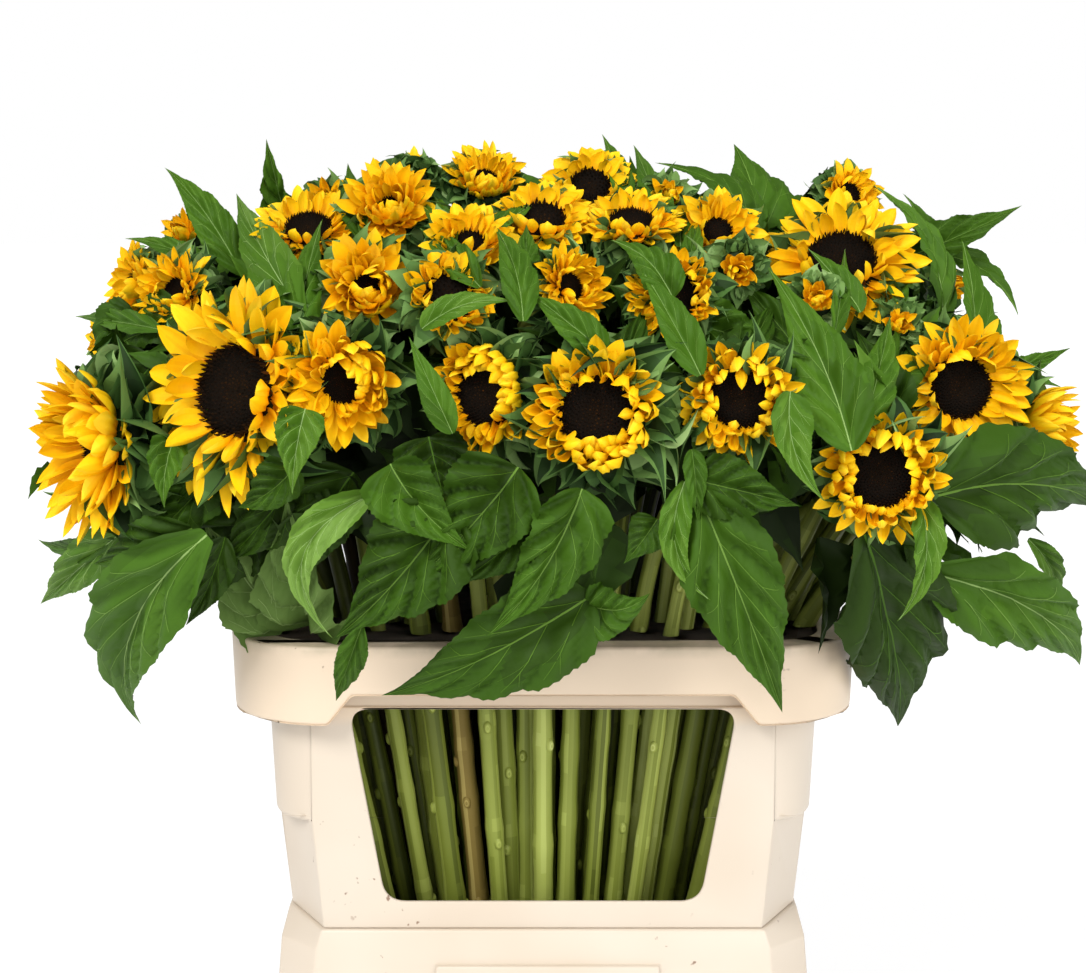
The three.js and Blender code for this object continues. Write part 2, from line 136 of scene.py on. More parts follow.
class Pile:
    """Grids of points gathered into one mesh, each face with its own material."""

    def __init__(self, name, slot, materials):
        self.name, self.slot, self.materials = name, slot, materials
        self.points, self.faces, self.tones = [], [], []
        self.size = 0

    def add(self, grids, tones, closed=False):
        """Adds grids of shape (n, rows, columns, 3).  The material numbers fit
        (n, rows - 1, faces across), and closed joins the last column to the first."""
        n, rows, columns = grids.shape[:3]
        at = np.arange(rows * columns).reshape(rows, columns)
        if closed:
            at = np.concatenate([at, at[:, :1]], axis=1)
        faces = np.stack([at[:-1, :-1], at[:-1, 1:], at[1:, 1:], at[1:, :-1]], axis=-1)
        first = self.size + rows * columns * np.arange(n)
        self.faces.append((faces[None] + first[:, None, None, None]).reshape(-1, 4))
        self.tones.append(np.broadcast_to(tones, (n, *faces.shape[:2])).reshape(-1))
        self.points.append(grids.reshape(-1, 3))
        self.size += n * rows * columns

    def build(self, replaced=()):
        mesh = bpy.data.meshes.new(self.name)
        points = np.concatenate(self.points) * MM
        mesh.from_pydata(points.tolist(), [], np.concatenate(self.faces).tolist())
        for material in self.materials:
            mesh.materials.append(material)
        mesh.polygons.foreach_set("material_index", np.concatenate(self.tones).astype(np.int32))
        mesh.shade_smooth()
        finish_piece(self.name, mesh, replaced)


def finish_piece(name, mesh, replaced):
    piece = bpy.data.objects.new(name, mesh)
    bpy.context.scene.collection.objects.link(piece)
    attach(piece, "root")
    if replaced:
        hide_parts(*replaced)


def pick(share):
    """Material numbers in a ramp from shares of the way from dark to light."""
    return np.clip(np.rint(np.asarray(share) * (STEPS - 1)), 0, STEPS - 1).astype(int)


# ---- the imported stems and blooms

PACKED_RADIUS = 0.47       # of a packed bloom's widest ring, by the bloom's width
PETALS_BEHIND = 0.03       # depth of the petals' foot behind its face, by width


def corners(node):
    """The separate corner points of a CAD node."""
    mesh = node.data
    flat = np.empty(len(mesh.vertices) * 3)
    mesh.vertices.foreach_get("co", flat)
    return np.unique(np.round(flat.reshape(-1, 3) / MM, 2), axis=0)


def bloom_from(node):
    """Centre, axis and width of a bloom, which is three rings of points about
    its axis: a small one at the stem and two wide ones at the petals."""
    points = corners(node)
    middle = points.mean(axis=0)
    axis = np.linalg.eigh(np.cov((points - middle).T))[1][:, 0]
    along = (points - middle) @ axis
    away = np.linalg.norm(points - middle - along[:, None] * axis, axis=1)
    if np.corrcoef(along, away)[0, 1] < 0:
        axis, along = -axis, -along
    width = away.max() / PACKED_RADIUS
    centre = middle + axis * (along.max() - PETALS_BEHIND * width)
    return {"centre": centre, "axis": axis, "width": width}


def straight(foot, rim):
    """The straight part of a stem, from the bucket's floor to the rim."""
    return foot + (rim - foot) * np.linspace(0, 1, 7)[:, None]


def stem_from(node):
    """The centreline of a stem, which is rings of six points from its foot up."""
    points = corners(node)
    rings = []
    while len(points) >= 6:
        if rings:
            nearest = np.argmin(np.linalg.norm(points - rings[-1], axis=1))
        else:
            nearest = np.argmin(points[:, 2])
        ring = np.argsort(np.linalg.norm(points - points[nearest], axis=1))[:6]
        rings.append(points[ring].mean(axis=0))
        points = np.delete(points, ring, axis=0)
    return np.concatenate([straight(*rings[:2]), rings[2:]])


def smooth_path(knots, spacing):
    """Points evenly spaced on a smooth curve through the knots."""
    knots = np.asarray(knots, float)
    lengths = np.linalg.norm(np.diff(knots, axis=0), axis=1)
    at = np.concatenate([[0], np.cumsum(lengths)])
    slopes = np.gradient(knots, at, axis=0)
    u = np.linspace(0, at[-1], max(int(at[-1] / spacing), 4) + 1)
    k = np.clip(np.searchsorted(at, u, side="right") - 1, 0, len(lengths) - 1)
    h = lengths[k][:, None]
    t = ((u - at[k]) / lengths[k])[:, None]
    return ((1 + 2 * t) * (1 - t) ** 2 * knots[k] + t * (1 - t) ** 2 * h * slopes[k]
            + t ** 2 * (3 - 2 * t) * knots[k + 1] + t ** 2 * (t - 1) * h * slopes[k + 1])


# ---- small blooms that only the scene shows

# Across, height, width, turn, tilt, set back from the dome, style
SMALL_BLOOMS = [
    (0, 648, 54, 5, 45, 4, "open"),
    (-44, 634, 52, 10, 40, -4, "dense"),
    (-54, 604, 50, 15, 25, -4, "curled"),
    (-96, 654, 56, 0, 25, 0, "cup"),
    (-104, 608, 58, 10, 10, 0, "cup"),
    (-272, 604, 50, -55, 5, -4, "dense"),
    (-240, 636, 36, -20, 25, 8, "bud"),
    (-296, 566, 34, -60, 0, 0, "open"),
    (-84, 674, 40, 160, 40, -6, "bud"),
    (30, 668, 50, 0, 30, -4, "open"),
    (107, 640, 50, 0, 20, 0, "dense"),
    (204, 664, 40, 20, 20, -4, "dense"),
    (164, 600, 30, 0, 10, 0, "bud"),
    (78, 660, 32, 0, 20, -6, "bud"),
    (116, 618, 32, 0, -10, 0, "bud"),
    (-144, 658, 34, 0, 30, -4, "bud"),
    (268, 602, 34, 30, 10, 4, "bud"),
    (217, 584, 26, 0, 10, 4, "bud"),
]
SMALL_GROWTH = 1.15        # of the near ones, by the width in the table
BACK_SMALL_BLOOMS = 24
BACK_LOW, BACK_RISE = 530, 130   # heights over which the far side's are spread
BACK_REACH = 275           # how far they go to either side
BACK_STYLES = ("cup", "open", "dense")

# Where the near row of extra stems stands behind the window: across, depth
WINDOW_ROW = [
    (-106, -66), (-90, -84), (-66, -92), (-49, -86), (-33, -98), (-24, -82), (0, -98),
    (36, -96), (69, -98), (78, -80), (104, -66), (-84, -60), (42, -56), (66, -62),
]
GATHERED = 0.34            # plan of a small stem at the window's level by that of its bloom
STEM_GAP = 13.5            # between stems at that level
STEM_AREA = (140, 102)     # half the width and depth in which they stand there


def small_bloom(centre, turn, tilt, width, style):
    return {"centre": centre, "axis": facing(turn, tilt), "width": width, "style": style,
            "bearing": 90, "close": 14}


def small_blooms():
    """The near ones from the table, and the far side's spread evenly upward."""
    found = []
    for across, height, width, turn, tilt, back, style in SMALL_BLOOMS:
        centre = dome_point(across, height, -back)
        found.append(small_bloom(centre, turn, tilt, SMALL_GROWTH * width, style))
    for i in range(BACK_SMALL_BLOOMS):
        height = BACK_LOW + BACK_RISE * (i + 0.5) / BACK_SMALL_BLOOMS
        room = math.sqrt(1 - ((height - DOME["centre"]) / DOME["z"]) ** 2)
        across = BACK_REACH * math.sin(2.4 * i) * room
        centre = dome_point(across, height, -6.0) * [1, -1, 1]
        turn = 180 - 60 * across / 250
        tilt = 10 + 45 * (height - BACK_LOW) / BACK_RISE
        width = 62 + 14 * math.cos(1.9 * i)
        found.append(small_bloom(centre, turn, tilt, width, BACK_STYLES[i % 3]))
    return found


def spread_out(points, fixed, gap, limit):
    """Pushes plan points away from each other and from the fixed ones."""
    points = points.copy()
    for _ in range(300):
        every = np.concatenate([points, fixed])
        apart = points[:, None] - every[None]
        distance = np.linalg.norm(apart, axis=-1)
        np.fill_diagonal(distance, 1e6)
        way = apart / np.maximum(distance, 1e-6)[..., None]
        points += 0.4 * (way * np.maximum(gap - distance, 0)[..., None]).sum(axis=1)
        points = np.clip(points, -np.array(limit), limit)
    return points


# Stems at the two ends of the bunch, whose heads the leaves hide: across and
# depth at the window's level, then across, depth and height of the head
END_STEMS = [
    (118, -86, 172, -124, 474), (128, -72, 188, -96, 456), (136, -56, 196, -66, 470),
    (144, -72, 216, -112, 458), (148, -50, 222, -70, 455), (146, -26, 220, -30, 460),
    (122, -58, 158, -80, 480), (140, -34, 206, -40, 462), (130, -20, 190, -16, 480),
    (-122, -78, -176, -110, 474), (-134, -56, -200, -70, 462), (-138, -30, -200, -34, 470),
]


def foot_and_rim(plan):
    """Where a stem stands on the bucket's floor and where it passes the rim,
    from its place at the window's level."""
    foot = np.array([*(plan * STEM_FAN[0]), FLOOR_OF_BUCKET])
    rim = np.array([*(plan * STEM_FAN[1]), RIM])
    return foot, rim


def end_stems():
    paths = []
    for across, depth, *head in END_STEMS:
        foot, rim = foot_and_rim(np.array([across, depth]))
        middle = (rim + head) / 2 + 0.08 * (rim - foot) / (RIM - FLOOR_OF_BUCKET) * (head[2] - RIM)
        paths.append(np.concatenate([straight(foot, rim), [middle, head]]))
    return paths


def small_stem(bloom, plan):
    """A path that runs straight to the rim and bends on to the back of a bloom."""
    foot, rim = foot_and_rim(plan)
    back = bloom["centre"] - NECK * bloom["width"] * bloom["axis"]
    rise = back[2] - RIM
    after_rim = rim + unit(rim - foot) * 0.5 * rise
    before_back = back - bloom["axis"] * 0.3 * rise
    t = np.linspace(0, 1, 7)[1:, None]
    curve = ((1 - t) ** 3 * rim + 3 * t * (1 - t) ** 2 * after_rim
             + 3 * t ** 2 * (1 - t) * before_back + t ** 3 * back)
    return np.concatenate([straight(foot, rim), curve])


def small_stems(blooms, stems):
    """A path from the bucket floor to each small bloom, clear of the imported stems."""
    packed = np.array([at_height(stem, WINDOW_LEVEL)[:2] for stem in stems])
    centres = np.array([bloom["centre"] for bloom in blooms])
    wish = GATHERED * centres[:, :2]
    front = np.nonzero(centres[:, 1] < 0)[0]
    chosen = front[np.argsort(centres[front, 0])]
    row = np.array(sorted(WINDOW_ROW))
    places = np.linspace(0, len(row) - 1, len(chosen)).round().astype(int)
    for k, (index, place) in enumerate(zip(chosen, places)):
        if k == 0 or place != places[k - 1]:
            wish[index] = row[place]
    plan = spread_out(wish, packed, STEM_GAP, STEM_AREA)
    return [small_stem(bloom, spot) for bloom, spot in zip(blooms, plan)]


def at_height(path, height):
    """The point where a stem first passes a height."""
    k = int(np.argmax(path[:, 2] >= height))
    low, high = path[max(k - 1, 0)], path[k]
    share = (height - low[2]) / max(high[2] - low[2], 1e-6)
    return low + (high - low) * share


# ---- blooms

# Disc radius by width, and rings of petals: how many, rise from the disc's
# plane at the foot and its change towards the tip in degrees, length by width,
# the scatter of both angles, how hollow the petals are and how broad
STYLES = {
    "open": (0.23, [(28, 3, -6, 0.32, 9, 0.5, 1.0), (26, 15, 0, 0.31, 12, 0.6, 1.0),
                    (20, 36, 30, 0.24, 20, 0.8, 0.9)]),
    "dense": (0.165, [(28, 6, 4, 0.37, 10, 0.5, 1.0), (26, 24, 8, 0.35, 12, 0.7, 0.95),
                      (22, 46, 14, 0.28, 14, 0.9, 0.9)]),
    "curled": (0.265, [(28, 10, 4, 0.26, 14, 0.9, 1.0), (26, 32, 8, 0.24, 20, 1.2, 1.0),
                       (20, 66, -20, 0.16, 24, 1.4, 0.9)]),
    "closing": (0.27, [(26, 4, 20, 0.28, 12, 0.6, 1.0), (28, 20, 100, 0.35, 14, 0.8, 1.0),
                       (22, 46, 80, 0.25, 16, 0.9, 0.95)]),
    "bud": (0.06, [(16, 24, 40, 0.46, 12, 0.7, 0.9), (12, 48, 30, 0.44, 12, 0.9, 0.9),
                   (8, 66, 20, 0.40, 12, 1.0, 0.9)]),
    "cup": (0.14, [(30, 18, 14, 0.42, 12, 0.6, 0.88), (28, 38, 16, 0.40, 14, 0.8, 0.88),
                   (20, 56, 20, 0.34, 16, 1.0, 0.85), (10, 72, 20, 0.27, 16, 1.0, 0.8)]),
}
# Style of each near bloom, the bearing about its axis at which it is fully
# open (0 to the right of it, 90 up), and the degrees by which petals on the
# far side rise from there
LARGE_STYLES = {
    "left_end": ("dense", 235, 14), "front_left": ("open", 250, 6),
    "front_left_inner": ("dense", 190, 30), "front_middle_left": ("curled", 225, 34),
    "front_middle": ("curled", 112, 38), "front_middle_right": ("closing", 200, 6),
    "front_right": ("closing", 300, 10), "front_right_outer": ("open", 250, 14),
    "right_end": ("cup", 300, 16), "upper_right": ("open", 90, 10),
    "upper_middle_right": ("curled", 160, 20), "upper_middle": ("open", 90, 14),
    "upper_middle_left": ("dense", 180, 24), "top": ("dense", 90, 30),
    "upper_left": ("open", 90, 10), "upper_left_outer": ("dense", 60, 24),
}
CLOSING_CURL = 2.6         # change of a petal's curl by that of its rise
# Petals that stand clear of their packed bloom: the way they move, and growth
STANDS_CLEAR = {"front_left_inner": ((-8, -42, 6), 1.24), "left_end": ((10, -12, 6), 1.06)}
PETAL_BREADTH = 0.128      # by width of the bloom
RIDGES = 0.05              # height of a blade's lengthwise ridges by its breadth
SAG = 0.06                 # fall of a blade's tip by its length


def rays(bloom, angle, radius, height, across=0.0):
    """Points about a bloom's axis from polar coordinates and a sideways shift."""
    side, up = axes_of(bloom["axis"])
    cos, sin = np.cos(angle)[..., None], np.sin(angle)[..., None]
    out, along = cos * side + sin * up, cos * up - sin * side
    return (bloom["centre"] + radius[..., None] * out + np.asarray(across)[..., None] * along
            + height[..., None] * bloom["axis"])


def petal_outline(v):
    return (1 - v ** 4) ** 0.8 * (0.40 + 0.60 * np.sin(np.minimum(v / 0.6, 1) * np.pi / 2))


def bract_outline(v):
    return np.clip(1 - v, 0, 1) ** 1.25 * (0.9 + 0.9 * np.sin(np.minimum(v / 0.4, 1) * np.pi / 2))


def blades(bloom, spec, outline, rows, columns):
    """Narrow blades in rings about a bloom.  spec holds arrays for the foot's
    radius and height, angle, rise, curl, length, breadth, dish, roll and bend."""
    v = np.linspace(0, 1, rows)
    u = np.linspace(-1, 1, columns)
    spec = {name: value[:, None] for name, value in spec.items()}
    lift = spec["rise"] + spec["curl"] * v ** 1.4
    step = spec["length"] / (rows - 1)
    run = np.cumsum(np.cos(lift) * step, axis=1) - np.cos(lift[:, :1]) * step
    climb = np.cumsum(np.sin(lift) * step, axis=1) - np.sin(lift[:, :1]) * step
    half = (0.5 * spec["breadth"] * outline(v))[..., None]
    across = half * u
    ridges = RIDGES * np.cos(3 * np.pi * u) * (1 - u ** 2)
    dish = spec["dish"][..., None] * half * (u ** 2 - 0.3)
    dish = dish + spec["breadth"][..., None] * ridges * np.sin(np.pi * v)[:, None]
    turn = (spec["roll"] * (0.3 + 0.7 * v))[..., None]
    bend = (spec["bend"] * v ** 2 * spec["length"])[..., None]
    shift = across * np.cos(turn) - dish * np.sin(turn) + bend
    stand = across * np.sin(turn) + dish * np.cos(turn)
    radius = (spec["radius"] + run)[..., None] - stand * np.sin(lift)[..., None]
    height = (spec["height"] + climb)[..., None] + stand * np.cos(lift)[..., None]
    points = rays(bloom, spec["angle"][..., None], radius, height, shift)
    points[..., 2] -= (SAG * spec["length"] * v ** 2)[..., None]
    return points


def face_shares(rows, columns):
    """Shares along (0 to 1) and across (-1 to 1) at the faces of a blade."""
    along = (np.arange(rows - 1) + 0.5) / (rows - 1)
    return along[None, :, None], np.linspace(-1, 1, columns - 1)[None, None]


def ring_angles(count, start):
    return start + 2 * np.pi * (np.arange(count) + rng.normal(0, 0.16, count)) / count


def add_petals(pile, bloom, rows, columns, share=1.0):
    """Rings of petals, with a share of the style's count for a small bloom."""
    disc, rings = STYLES[bloom["style"]]
    width = bloom["width"]
    v, u = face_shares(rows, columns)
    for k, (full, rise, curl, length, scatter, dish, breadth) in enumerate(rings):
        count = round(full * share)
        breadth = breadth / share
        spread = math.radians(scatter)
        angle = ring_angles(count, 0.5 * k)
        far_side = 0.5 - 0.5 * np.cos(angle - math.radians(bloom["bearing"]))
        close = math.radians(bloom["close"]) * far_side
        spec = {
            "angle": angle,
            "rise": math.radians(rise) + close + rng.normal(0, 0.55 * spread, count),
            "curl": math.radians(curl) + CLOSING_CURL * close + rng.normal(0, 1.3 * spread, count),
            "length": width * length * rng.uniform(0.78, 1.14, count),
            "breadth": width * PETAL_BREADTH * breadth * rng.uniform(0.75, 1.2, count),
            "dish": dish * rng.uniform(0.5, 1.4, count),
            "roll": rng.normal(0, 0.3, count),
            "bend": rng.normal(0, 0.11, count),
            "radius": np.full(count, width * disc * (1.04 - 0.05 * k)),
            "height": width * (0.015 * k - 0.035) + rng.normal(0, 0.004, count) * width,
        }
        shade = 0.32 + 0.55 * v ** 0.5 + 0.08 * np.abs(u)
        shade = shade + rng.normal(0, 0.07, count)[:, None, None]
        shade = shade + rng.normal(0, 0.05, (count, 1, columns - 1))
        pile.add(blades(bloom, spec, petal_outline, rows, columns), pick(shade))


def add_dish(pile, bloom, sides, radii, heights, tones):
    """A round surface through rings about a bloom's axis."""
    angle = (2 * np.pi * np.arange(sides) / sides)[None, None]
    grid = rays(bloom, angle, radii[:, None], heights[:, None])
    pile.add(grid, tones, closed=True)


def add_disc(pile, bloom, florets):
    """A dark, slightly hollow disc set with florets in a spiral."""
    edge = bloom["width"] * STYLES[bloom["style"]][0]
    share = np.array([0.02, 0.3, 0.6, 0.85, 1.0, 1.06])
    rise = np.array([-0.10, -0.06, 0.02, 0.05, 0.0, -0.2]) * edge
    add_dish(pile, bloom, 24, edge * share, rise, pick([0.2, 0.1, 0.05, 0.1, 0.3])[None, :, None])
    k = np.arange(florets)
    reach = np.sqrt((k + 0.5) / florets)
    size = edge * 0.95 / math.sqrt(florets) * (0.8 + 0.5 * reach ** 3)
    tall = size * (0.8 + 2.2 * reach ** 6 + rng.uniform(0, 0.5, florets))
    ground = np.interp(reach, share, rise)
    corner = np.pi / 2 * np.arange(4)
    grids = []
    for spread, climb in ((0.95, -0.3), (0.16, 1.0)):
        radius = edge * reach[:, None] + spread * size[:, None] * np.cos(corner)
        across = spread * size[:, None] * np.sin(corner)
        height = (ground + climb * tall)[:, None]
        grids.append(rays(bloom, GOLDEN_ANGLE * k[:, None], radius, height, across))
    shade = np.where(reach < 0.42, 0.42, 0.2) + 0.5 * reach ** 8 + rng.normal(0, 0.1, florets)
    pile.add(np.stack(grids, axis=1), pick(shade)[:, None, None], closed=True)


def add_cup(pile, bloom):
    """The green cup behind the petals."""
    share = np.array([0.05, 0.10, 0.19, 0.27, 0.31, 0.28, 0.20])
    rise = np.array([-0.43, -0.36, -0.29, -0.19, -0.08, -0.02, 0.0])
    add_dish(pile, bloom, 16, bloom["width"] * share, bloom["width"] * rise, pick(0.2))


# Rings of bracts: how many, foot radius and height by width, rise, curl,
# length and breadth by width
BRACT_RINGS = [
    (17, 0.30, -0.05, 24, -85, 0.28, 0.23),
    (16, 0.31, -0.10, 8, -95, 0.32, 0.26),
    (15, 0.29, -0.17, -8, -80, 0.34, 0.26),
    (12, 0.24, -0.25, -28, -50, 0.34, 0.24),
]
# Growth of the bracts by the style of their bloom, and the width of bloom that
# the bracts of a smaller one still suit
BRACT_REACH = {"bud": 0.8, "open": 0.78, "dense": 0.85, "curled": 1.1, "closing": 1.2, "cup": 0.85}
LEAST_WIDTH = 48


def add_bracts(pile, bloom, rows, columns):
    width = max(bloom["width"], LEAST_WIDTH)
    v, u = face_shares(rows, columns)
    for k, (count, foot, height, rise, curl, length, breadth) in enumerate(BRACT_RINGS):
        spec = {
            "angle": ring_angles(count, 0.3 * k),
            "rise": np.radians(rise) + rng.normal(0, 0.28, count),
            "curl": np.radians(curl) + rng.normal(0, 1.2, count),
            "length": width * length * BRACT_REACH[bloom["style"]] * rng.uniform(0.65, 1.3, count),
            "breadth": width * breadth * rng.uniform(0.8, 1.2, count),
            "dish": rng.uniform(0.4, 1.2, count),
            "roll": rng.normal(0, 0.9, count),
            "bend": rng.normal(0, 0.5, count),
            "radius": np.full(count, bloom["width"] * foot),
            "height": np.full(count, bloom["width"] * height),
        }
        shade = 0.24 + 0.42 * u ** 2 + 0.14 * v + rng.normal(0, 0.13, count)[:, None, None]
        pile.add(blades(bloom, spec, bract_outline, rows, columns), pick(shade))


# ---- leaves

OUTLINE_AT = np.array([0, 0.03, 0.10, 0.22, 0.36, 0.52, 0.68, 0.80, 0.90, 1.0])
BROAD = np.array([0.10, 0.55, 0.88, 1.0, 0.90, 0.66, 0.38, 0.19, 0.08, 0.0])
NARROW = np.array([0.20, 0.42, 0.74, 1.0, 0.98, 0.78, 0.48, 0.26, 0.11, 0.0])
TEETH = 0.022              # depth of the saw edge by half width
VEIN_PAIRS = 6
VEIN_SLOPE = 0.34          # how far a side vein runs along while it crosses the half width
SIDE_VEIN_COLUMNS = 9      # a blade divided this finely across has side veins too
# A side vein and its two forks: from and to which share of the half width, how
# much steeper than the vein, and half breadth by the leaf's length
VEIN_BRANCHES = [(0.02, 0.84, 0.0, 0.0028), (0.34, 0.80, 0.22, 0.0018), (0.5, 0.86, -0.2, 0.0016)]


class Leaves:
    """Many leaves described by arrays, one entry for each leaf."""

    def __init__(self, start, middle, tip, face, width, fold, roll, twist):
        self.start, self.middle, self.tip = (np.asarray(p, float) for p in (start, middle, tip))
        count = len(self.start)
        self.face = np.broadcast_to(face, (count, 3)).astype(float)
        self.width, self.fold, self.roll, self.twist = (
            np.broadcast_to(np.asarray(a, float), (count,)) for a in (width, fold, roll, twist))
        self.length = np.linalg.norm(self.tip - self.start, axis=1)
        self.broad = np.clip((self.width / self.length - 0.25) / 0.25, 0, 1)
        self.phase = rng.uniform(0, 2 * np.pi, count)
        self.wave = rng.uniform(0.03, 0.12, count)
        self.droop = rng.uniform(-0.05, 0.3, count)
        self.puff = rng.uniform(0.12, 0.28, count)

    def keep(self, mask):
        for name, value in vars(self).items():
            setattr(self, name, value[mask])

    def half(self, v):
        broad = np.interp(v, OUTLINE_AT, BROAD)
        narrow = np.interp(v, OUTLINE_AT, NARROW)
        mix = self.broad[:, None]
        return 0.5 * self.width[:, None] * (mix * broad + (1 - mix) * narrow)

    def relief(self, u, v, half):
        """How far the blade stands from its folded plane: its droop, the puffs
        between its side veins, and waves of three sizes."""
        phase = self.phase[:, None]
        ridge = VEIN_PAIRS * (v - VEIN_SLOPE * np.abs(u) * np.abs(v) ** 0.3)
        puff = 2 * np.abs(np.sin(np.pi * ridge)) * np.minimum(np.abs(u) * 3, 1)
        edge = self.wave[:, None] * u ** 2 * np.sin(9 * v + phase + 1.3 * np.sign(u))
        broad = 0.09 * np.sin(4 * u + 2 * phase) * np.sin(7 * v + phase)
        fine = 0.035 * np.sin(9 * u - phase) * np.sin(25 * v + 3 * phase)
        bow = self.puff[:, None] * puff - self.droop[:, None] * u ** 2
        return half * (bow + edge + broad + fine)

    def at(self, u, v, above=0.0, saw=0.0):
        """Points at shares u across and v along, both (leaves or 1, points)."""
        v = np.broadcast_to(v, (len(self.start), np.shape(v)[-1]))
        w = v[..., None]
        start, middle, tip = (p[:, None] for p in (self.start, self.middle, self.tip))
        along = unit((1 - w) * (middle - start) + w * (tip - middle))
        flat = unit(np.cross(along, self.face[:, None]))
        above_flat = np.cross(flat, along)
        turn = (self.roll[:, None] + self.twist[:, None] * (v - 0.5))[..., None]
        side = flat * np.cos(turn) + above_flat * np.sin(turn)
        over = above_flat * np.cos(turn) - flat * np.sin(turn)
        half = self.half(v)
        reach = u * half * (1 + TEETH * saw)
        lift = self.fold[:, None] * np.abs(reach) + self.relief(u, v, half) + above
        forward = 0.35 * TEETH * saw * half
        return (bent(start, middle, tip, w) + side * reach[..., None] + over * lift[..., None]
                + along * forward[..., None])


def add_leaves(pile, leaves, share, rows, columns, first=0, veins=0):
    """Adds leaf blades coloured by their shares of the ramp that starts at
    material number first, with veins lighter by that share."""
    count = len(leaves.start)
    u, v = (a.reshape(1, -1) for a in np.meshgrid(np.linspace(-1, 1, columns),
                                                  np.linspace(0, 1, rows)))
    saw = np.zeros((rows, columns))
    saw[1:-1:2, [0, -1]] = rng.uniform(0.4, 1.5, (len(saw[1:-1:2]), 2))
    saw[2:-1:2, [0, -1]] = -0.6
    points = leaves.at(u, v, 0.0, saw.reshape(1, -1)).reshape(count, rows, columns, 3)
    v, u = face_shares(rows, columns)
    patch = 0.03 * np.sin(6 * v + leaves.phase[:, None, None] + 2.5 * u)
    # side is painted light and shade: one half of each blade is lighter than the other, as if lit
    # across its fold
    side = 0.03 * np.sin(3 * leaves.phase)[:, None, None] * np.sign(u)
    base = np.broadcast_to(np.asarray(share, float), (count,)).reshape(-1, 1, 1)
    # The 0.1 * (v - 0.5) term is painted shade: darker towards the leaf's foot in the crown,
    # lighter towards its tip
    pile.add(points, first + pick(base + patch + side + 0.1 * (v - 0.5)))
    if veins:
        add_midribs(pile, leaves, first + pick(base + veins))
    if veins and columns >= SIDE_VEIN_COLUMNS:
        add_side_veins(pile, leaves, first + pick(base + 0.8 * veins))


def add_midribs(pile, leaves, tone):
    v = np.linspace(0.0, 0.97, 12)
    rib = np.clip((0.62 - 0.5 * v) * leaves.width[:, None] / 60 / leaves.half(v), 0, 0.9)
    section = ((-1, 0.2), (0, 0.8), (1, 0.2))
    edges = [leaves.at(side * rib, v[None], above) for side, above in section]
    pile.add(np.stack(edges, axis=2), tone)


def add_side_veins(pile, leaves, tone):
    branches = [(k, side, *branch) for k in range(VEIN_PAIRS) for side in (-1, 1)
                for branch in VEIN_BRANCHES]
    for k, side, inner, outer, steeper, breadth in branches:
        u = np.linspace(inner, outer, 6)
        v = (k + 0.15) / VEIN_PAIRS + VEIN_SLOPE * u ** 0.9 + steeper * (u - inner)
        u, v = u[v < 0.95], v[v < 0.95]
        if len(u) > 2:
            thick = breadth * (1.2 - u)
            edges = [leaves.at(side * u[None], (v + s * thick)[None], 0.4) for s in (-1, 1)]
            pile.add(np.stack(edges, axis=2), tone)


def add_petioles(pile, leaves, anchors, tone):
    """Stalks from the anchors to the leaves' feet."""
    v = np.linspace(0, 1, 6)[None, :, None]
    start, end = anchors[:, None], leaves.start[:, None]
    into = unit(leaves.middle - leaves.start)[:, None]
    reach = np.linalg.norm(anchors - leaves.start, axis=1)[:, None, None]
    line = bent(start, end - into * 0.5 * reach, end, v)
    pile.add(tube(line, np.full(line.shape[:2], 1.5), 5), tone, closed=True)


def tube(lines, radii, sides):
    """Round tubes about centrelines of shape (n, points, 3)."""
    along = unit(np.gradient(lines, axis=1))
    side = unit(np.cross(along, [0.9, 0.4, 0.1]))
    up = np.cross(along, side)
    angle = 2 * np.pi * np.arange(sides) / sides
    cos, sin = np.cos(angle)[:, None], np.sin(angle)[:, None]
    ring = side[:, :, None] * cos + up[:, :, None] * sin
    return lines[:, :, None] + radii[:, :, None, None] * ring


